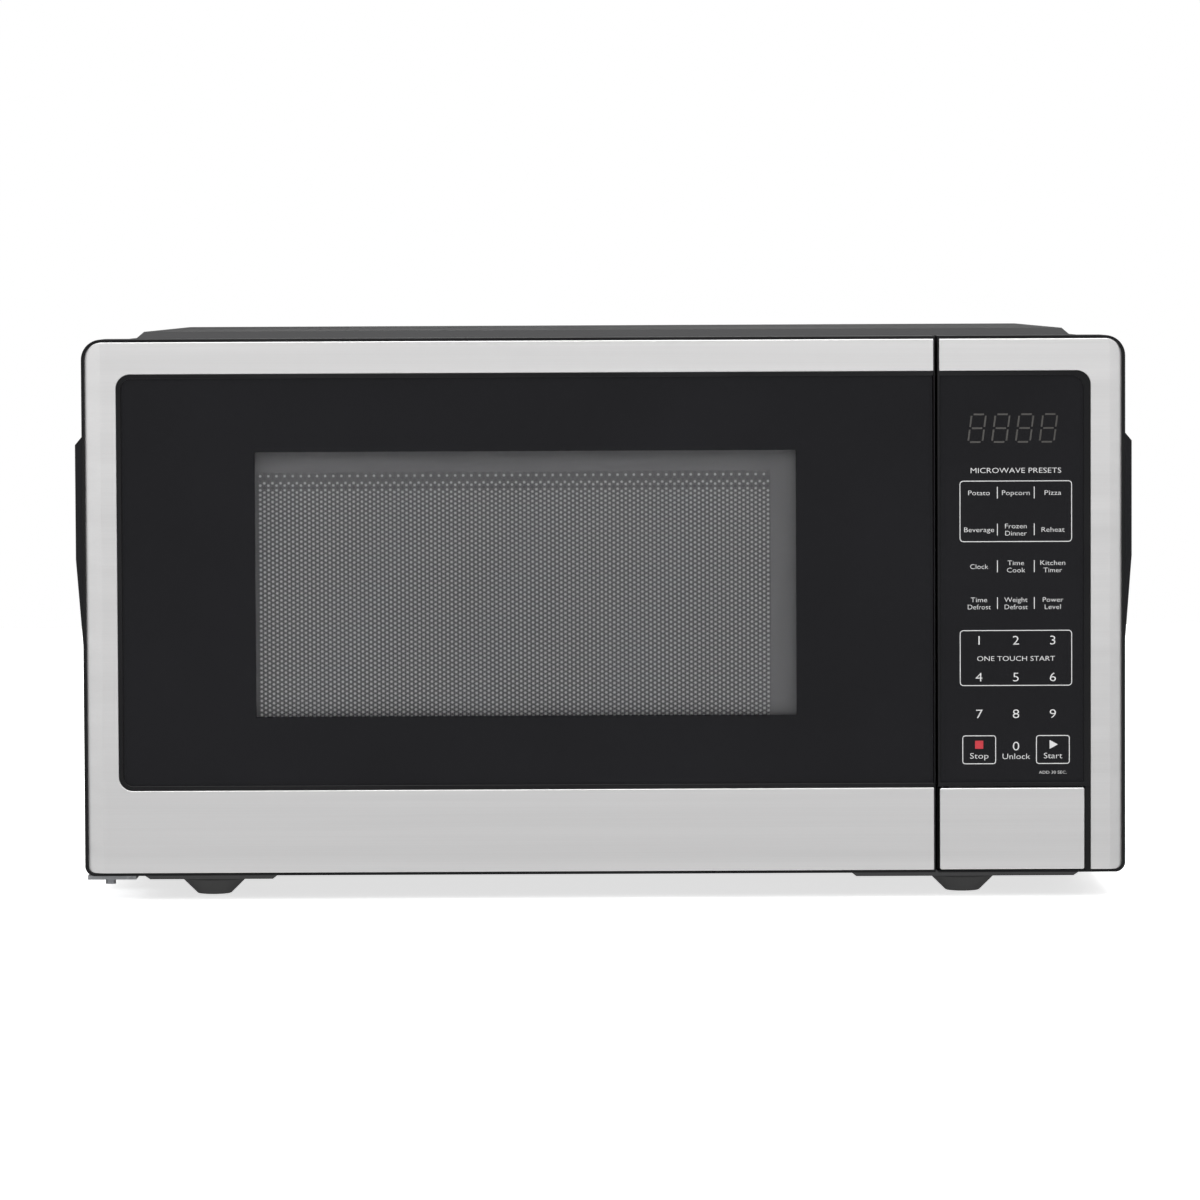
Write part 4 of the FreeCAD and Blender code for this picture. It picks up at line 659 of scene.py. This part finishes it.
def key_legends():
    """Names, numbers, frames and dividers printed on the panel glass."""
    build = bmesh.new()
    line_drop = 3.55 * MM
    for row, names in enumerate(KEY_ROWS):
        for column, name in enumerate(names):
            x, z = key_spot(column, row)
            words = name.split()
            height = DIGIT_HEIGHT if name.isdigit() else LEGEND_HEIGHT
            for number, word in enumerate(words):
                lift = line_drop * ((len(words) - 1) / 2 - number)
                lettering(build, word, x, z + lift, height)
            if column < 2 and not name.isdigit():
                bar(build, x + KEY_PITCH / 2, z, LINE_WIDTH, 5.8 * MM)
    centre, top_row = key_spot(1, 0)
    frame_width = 55.3 * MM
    lettering(build, "MICROWAVE PRESETS", centre, top_row + 11.0 * MM, 2.7 * MM)
    outline(build, centre, top_row - 9.2 * MM, frame_width, 30.2 * MM, 1.8 * MM)
    digits_middle = (key_spot(1, 4)[1] + key_spot(1, 5)[1]) / 2
    outline(build, centre, digits_middle + 0.2 * MM, frame_width, 27.5 * MM, 1.8 * MM)
    lettering(build, "ONE TOUCH START", centre, digits_middle, 2.5 * MM)

    button_width, button_height = 16.6 * MM, 14.2 * MM
    for column, word in ((0, "Stop"), (2, "Start")):
        x, z = key_spot(column, 7)
        outline(build, x, z + 0.3 * MM, button_width, button_height, 1.4 * MM)
        lettering(build, word, x, z - 2.6 * MM, 2.9 * MM)
    x, z = key_spot(2, 7)
    arrow_back, arrow_tip = x - 1.6 * MM, x + 2.5 * MM
    flat_shape(build, [(arrow_back, z + 0.6 * MM), (arrow_tip, z + 2.8 * MM), (arrow_back, z + 5.0 * MM)])
    lettering(build, "ADD 30 SEC.", x, z - 10.9 * MM, 1.5 * MM)
    x, z = key_spot(1, 7)
    lettering(build, "0", x, z + 2.2 * MM, DIGIT_HEIGHT)
    lettering(build, "Unlock", x, z - 2.9 * MM, 2.9 * MM)
    white_print = grained("legend_print", (0.42, 0.42, 0.42), 900.0, 0.1, gloss=(0.4, 0.5))
    printed_piece("key_legends", build, white_print)

    build = bmesh.new()
    x, z = key_spot(0, 7)
    bar(build, x, z + 2.8 * MM, 4.0 * MM, 4.0 * MM)
    red_print = grained("stop_red", (0.34, 0.012, 0.02), 900.0, 0.1, gloss=(0.4, 0.5))
    printed_piece("stop_mark", build, red_print)


def clock_segments():
    """Four unlit seven-segment digits, slanted, just visible in the dark glass."""
    build = bmesh.new()
    low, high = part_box("display_module")
    glass_low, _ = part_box("panel_glass")
    digit_pitch, width, height, line, slant = 11.7 * MM, 7.0 * MM, 13.6 * MM, 0.85 * MM, 0.13
    middle_x = (low.x + high.x) / 2 - glass_low.x
    middle_z = (low.z + high.z) / 2 - glass_low.z
    half, quarter = height / 2, height / 4
    strokes = [(0, k * half, width - line * 2.2, line) for k in (-1, 0, 1)]
    strokes += [(i * width / 2, k * quarter, line, half - line * 1.6) for i in (-1, 1) for k in (-1, 1)]
    for digit in range(4):
        centre = middle_x + (digit - 1.5) * digit_pitch
        for x, z, across, up in strokes:
            corners = [(x + i * across / 2, z + k * up / 2) for i, k in RECTANGLE]
            flat_shape(build, [(centre + u + v * slant, middle_z + v) for u, v in corners])
    printed_piece("clock_segments", build, grained("unlit_segments", (0.038, 0.036, 0.033), 700.0, 0.3))


# ---------------------------------------------------------------- screws

def screw_tree():
    """Geometry nodes that put a given screw on every point, each turned its own way."""
    group = bpy.data.node_groups.new("screws", "GeometryNodeTree")
    group.interface.new_socket(name="Points", in_out="INPUT", socket_type="NodeSocketGeometry")
    group.interface.new_socket(name="Screw", in_out="INPUT", socket_type="NodeSocketObject")
    group.interface.new_socket(name="Tilt", in_out="INPUT", socket_type=NUMBER)
    group.interface.new_socket(name="Seed", in_out="INPUT", socket_type="NodeSocketInt")
    group.interface.new_socket(name="Finish", in_out="INPUT", socket_type="NodeSocketMaterial")
    group.interface.new_socket(name="Screws", in_out="OUTPUT", socket_type="NodeSocketGeometry")
    tree = Tree(group)
    given = tree.add("NodeGroupInput").outputs
    screw = tree.add("GeometryNodeObjectInfo", {"Object": given["Screw"]})
    spin = tree.add("FunctionNodeRandomValue", {"Seed": given["Seed"]}, data_type="FLOAT")
    spin.inputs[3].default_value = math.tau
    own_turn = tree.add("ShaderNodeCombineXYZ", {"Z": spin.outputs[1]}).outputs[0]
    tilt = tree.add("ShaderNodeCombineXYZ", {"X": given["Tilt"]}).outputs[0]
    turn = tree.add("FunctionNodeRotateEuler", rotation_type="EULER", space="LOCAL")
    tree.feed(turn.inputs["Rotation"], tilt)
    tree.feed(turn.inputs["Rotate By"], own_turn)
    copies = tree.add("GeometryNodeInstanceOnPoints", {
        "Points": given["Points"], "Instance": screw.outputs["Geometry"], "Rotation": turn.outputs[0]})
    real = tree.add("GeometryNodeRealizeInstances", {"Geometry": copies.outputs[0]}).outputs[0]
    painted = tree.add("GeometryNodeSetMaterial", {"Geometry": real, "Material": given["Finish"]}).outputs[0]
    tree.feed(tree.add("NodeGroupOutput").inputs[0], painted)
    return group


def screw_shape(head_radius, head_height, shank_radius, shank_length):
    """A pan-head screw with a cross recess, standing on its head's underside, head up."""
    build = bmesh.new()
    sides = 24
    profile = [(0.0, -shank_length), (shank_radius * 0.5, -shank_length),
               (shank_radius, -shank_length + shank_radius), (shank_radius, 0.0), (head_radius, 0.0),
               (head_radius, head_height * 0.35), (head_radius * 0.9, head_height * 0.75),
               (head_radius * 0.62, head_height), (0.0, head_height * 1.06)]
    turns = [math.tau * side / sides for side in range(sides)]
    rings = []
    for radius, height in profile:
        if radius == 0.0:
            rings.append([build.verts.new((0, 0, height))])
            continue
        rings.append([build.verts.new((radius * math.cos(turn), radius * math.sin(turn), height))
                      for turn in turns])
    for lower, upper in zip(rings, rings[1:]):
        for k in range(sides):
            m = (k + 1) % sides
            corners = [lower[k % len(lower)], lower[m % len(lower)],
                       upper[m % len(upper)], upper[k % len(upper)]]
            build.faces.new(list(dict.fromkeys(corners)))
    mesh = bpy.data.meshes.new("screw_shape")
    build.to_mesh(mesh)
    build.free()
    mesh.shade_smooth()
    screw = link("screw_shape", mesh)
    slots = bmesh.new()
    for turn in (0, 90):
        made = bmesh.ops.create_cube(slots, size=1.0)["verts"]
        slot_size = (head_radius * 1.15, head_radius * 0.24, head_height * 1.4)
        bmesh.ops.scale(slots, verts=made, vec=slot_size)
        bmesh.ops.rotate(slots, verts=made, matrix=Matrix.Rotation(math.radians(turn), 3, "Z"))
        bmesh.ops.translate(slots, verts=made, vec=(0, 0, head_height * 1.1))
    recess_mesh = bpy.data.meshes.new("recess")
    slots.to_mesh(recess_mesh)
    slots.free()
    recess = link("recess", recess_mesh)
    cut = screw.modifiers.new("cut", "BOOLEAN")
    cut.object = recess
    cut.operation = "DIFFERENCE"
    cut.use_self = True
    settle(screw)
    screw.data.set_sharp_from_angle(angle=math.radians(35))
    bpy.data.objects.remove(recess)
    return screw


def rear_screws():
    """The cover's six rear screws, where the CAD has them."""
    low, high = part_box("cover_screws")
    build = bmesh.new()
    build.from_mesh(frame["nodes"]["cover_screws"].data)
    bmesh.ops.remove_doubles(build, verts=build.verts, dist=0.001 * MM)
    spots = []
    for island in islands(build):
        tip = [v.co for v in island if v.co.y > high.y - 0.1 * MM]
        if tip:
            centre = sum(tip, Vector()) / len(tip)
            spots.append((centre.x, high.y - 2.2 * MM, centre.z))
    build.free()
    points = bpy.data.meshes.new("cover_screws")
    points.from_pydata(spots, [], [])
    screws = link("rear_cover_screws", points)
    shape = screw_shape(3.8 * MM, 2.0 * MM, 1.6 * MM, 7.0 * MM)
    run_tree(screws, screw_tree(), Screw=shape, Tilt=math.radians(-90), Seed=7,
             Finish=FINISHES["zinc_steel"])
    bpy.data.objects.remove(shape)
    hand_over(screws, "oven_body", "zinc_steel", "cover_screws")


def islands(build):
    """The separate shells of a mesh, as lists of vertices."""
    seen, shells = set(), []
    for start in build.verts:
        if start in seen:
            continue
        shell, waiting = [], [start]
        seen.add(start)
        while waiting:
            vertex = waiting.pop()
            shell.append(vertex)
            for edge in vertex.link_edges:
                other = edge.other_vert(vertex)
                if other not in seen:
                    seen.add(other)
                    waiting.append(other)
        shells.append(shell)
    return shells


# ---------------------------------------------------------------- outside pieces

def soften_outside():
    """Rounds the edges of what shows from outside."""
    softened("door_steel_trim", "door_steel", "door", "steel", 0.7 * MM)
    softened("panel_steel_trim", "panel_steel", "oven_body", "steel", 0.7 * MM)
    softened("button_skin", "button_steel", "open_button", "steel", 0.5 * MM)
    softened("door_frame", "door_moulding", "door", "black_plastic", 0.5 * MM)
    softened("panel_frame", "panel_moulding", "oven_body", "black_plastic", 0.5 * MM)
    softened("choke_cover", "choke_moulding", "door", "black_plastic", 0.6 * MM)
    softened("door_button", "button_moulding", "open_button", "black_plastic", 0.4 * MM)
    softened("cord_gland", "gland_moulding", "oven_body", "black_plastic", 0.4 * MM)
    for corner in ("front_left", "front_right", "rear_left", "rear_right"):
        softened(f"foot_{corner}", f"{corner}_pad", "oven_body", "feet", 0.5 * MM)


def button_coil():
    """The button's spring, a copy of its CAD piece on the oven body."""
    piece = link("button_coil", frame["nodes"]["button_spring"].data.copy(), FINISHES["zinc_steel"])
    hand_over(piece, "oven_body", "zinc_steel", "button_spring")
    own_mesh(piece)


# ---------------------------------------------------------------- stage

# Each light's name, place and size in metres, and power in watts.
SOFTBOXES = (
    ("top_softbox", (0.0, 0.4, 2.2), 3.0, 40.0),
    ("front_softbox", (0.0, -2.2, 1.9), 1.8, 34.0),
    ("rear_softbox", (0.3, 2.8, 2.0), 1.8, 10.0),
    ("left_softbox", (-2.3, -1.6, 1.1), 1.6, 14.0),
    ("right_softbox", (2.4, -1.9, 1.3), 1.6, 12.0),
)
OVEN_MIDDLE = Vector((0, 0, 0.15))
WHITE = (1, 1, 1, 1)


def studio():
    """White floor, surroundings that look white but reflect dark low down, and soft lights."""
    floor_mesh = bpy.data.meshes.new("floor")
    side, near, far = 4.0, -2.6, 2.2
    corners = [(-side, near, 0), (side, near, 0), (side, far, 0), (-side, far, 0)]
    floor_mesh.from_pydata(corners, [], [(0, 1, 2, 3)])
    white = grained("floor_white", (0.93, 0.93, 0.93), 20.0, 0.01, gloss=(0.6, 0.7), relief=0.0,
                    Emission_Color=WHITE, Emission_Strength=0.7)
    floor = link("floor", floor_mesh, white)
    floor.visible_glossy = False

    world = bpy.data.worlds.new("surroundings")
    bpy.context.scene.world = world
    world.use_nodes = True
    tree = Tree(world.node_tree)
    direction = tree.add("ShaderNodeTexCoord").outputs["Generated"]
    parts = tree.add("ShaderNodeSeparateXYZ", {"Vector": direction}).outputs
    slope = tree.maths("ABSOLUTE", parts["Z"])
    behind = tree.add("ShaderNodeMapRange",
                      {"Value": parts["Y"], "From Min": -0.3, "From Max": 0.6}).outputs[0]
    fade_start = tree.spread(behind, 0.10, 0.55)
    fade_end = tree.spread(behind, 0.45, 0.95)
    away = tree.add("ShaderNodeMapRange",
                    {"Value": slope, "From Min": fade_start, "From Max": fade_end}).outputs[0]
    level = tree.blend(behind, (0.20, 0.20, 0.21, 1), (0.01, 0.01, 0.01, 1))
    room = tree.blend(away, level, (0.95, 0.95, 0.95, 1))
    seen = tree.add("ShaderNodeLightPath").outputs["Is Camera Ray"]
    tree.feed(world.node_tree.nodes["Background"].inputs["Color"], tree.blend(seen, room, WHITE))

    for name, spot, size, power in SOFTBOXES:
        light = bpy.data.lights.new(name, "AREA")
        light.size = size
        light.energy = power
        lamp = bpy.data.objects.new(name, light)
        lamp.location = spot
        lamp.rotation_euler = (OVEN_MIDDLE - lamp.location).to_track_quat("-Z", "Y").to_euler()
        bpy.context.scene.collection.objects.link(lamp)


LENS = 183.2
VIEW_X = -0.002
VIEW_DISTANCE = 3.0
VIEW_HEIGHT, AIM_HEIGHT = 0.303, 0.1484
VIEW_ROLL = math.radians(-0.26)


def camera():
    """A long lens in front of the door, just above the height of the oven's top."""
    low, _ = cad_box
    view = bpy.data.cameras.new("camera")
    view.lens = LENS
    view.sensor_width = 36.0
    view.clip_end = 100.0
    viewer = bpy.data.objects.new("camera", view)
    bpy.context.scene.collection.objects.link(viewer)
    viewer.location = (VIEW_X, low[1] - VIEW_DISTANCE, VIEW_HEIGHT)
    target = Vector((VIEW_X, low[1], AIM_HEIGHT))
    aim = (target - viewer.location).to_track_quat("-Z", "Y").to_matrix()
    viewer.rotation_euler = (aim @ Matrix.Rotation(VIEW_ROLL, 3, "Z")).to_euler()
    bpy.context.scene.camera = viewer
    bpy.context.scene.view_settings.view_transform = "Standard"


finish_cad_nodes()
soften_outside()
window_screen()
key_legends()
clock_segments()
rear_screws()
button_coil()
studio()
camera()
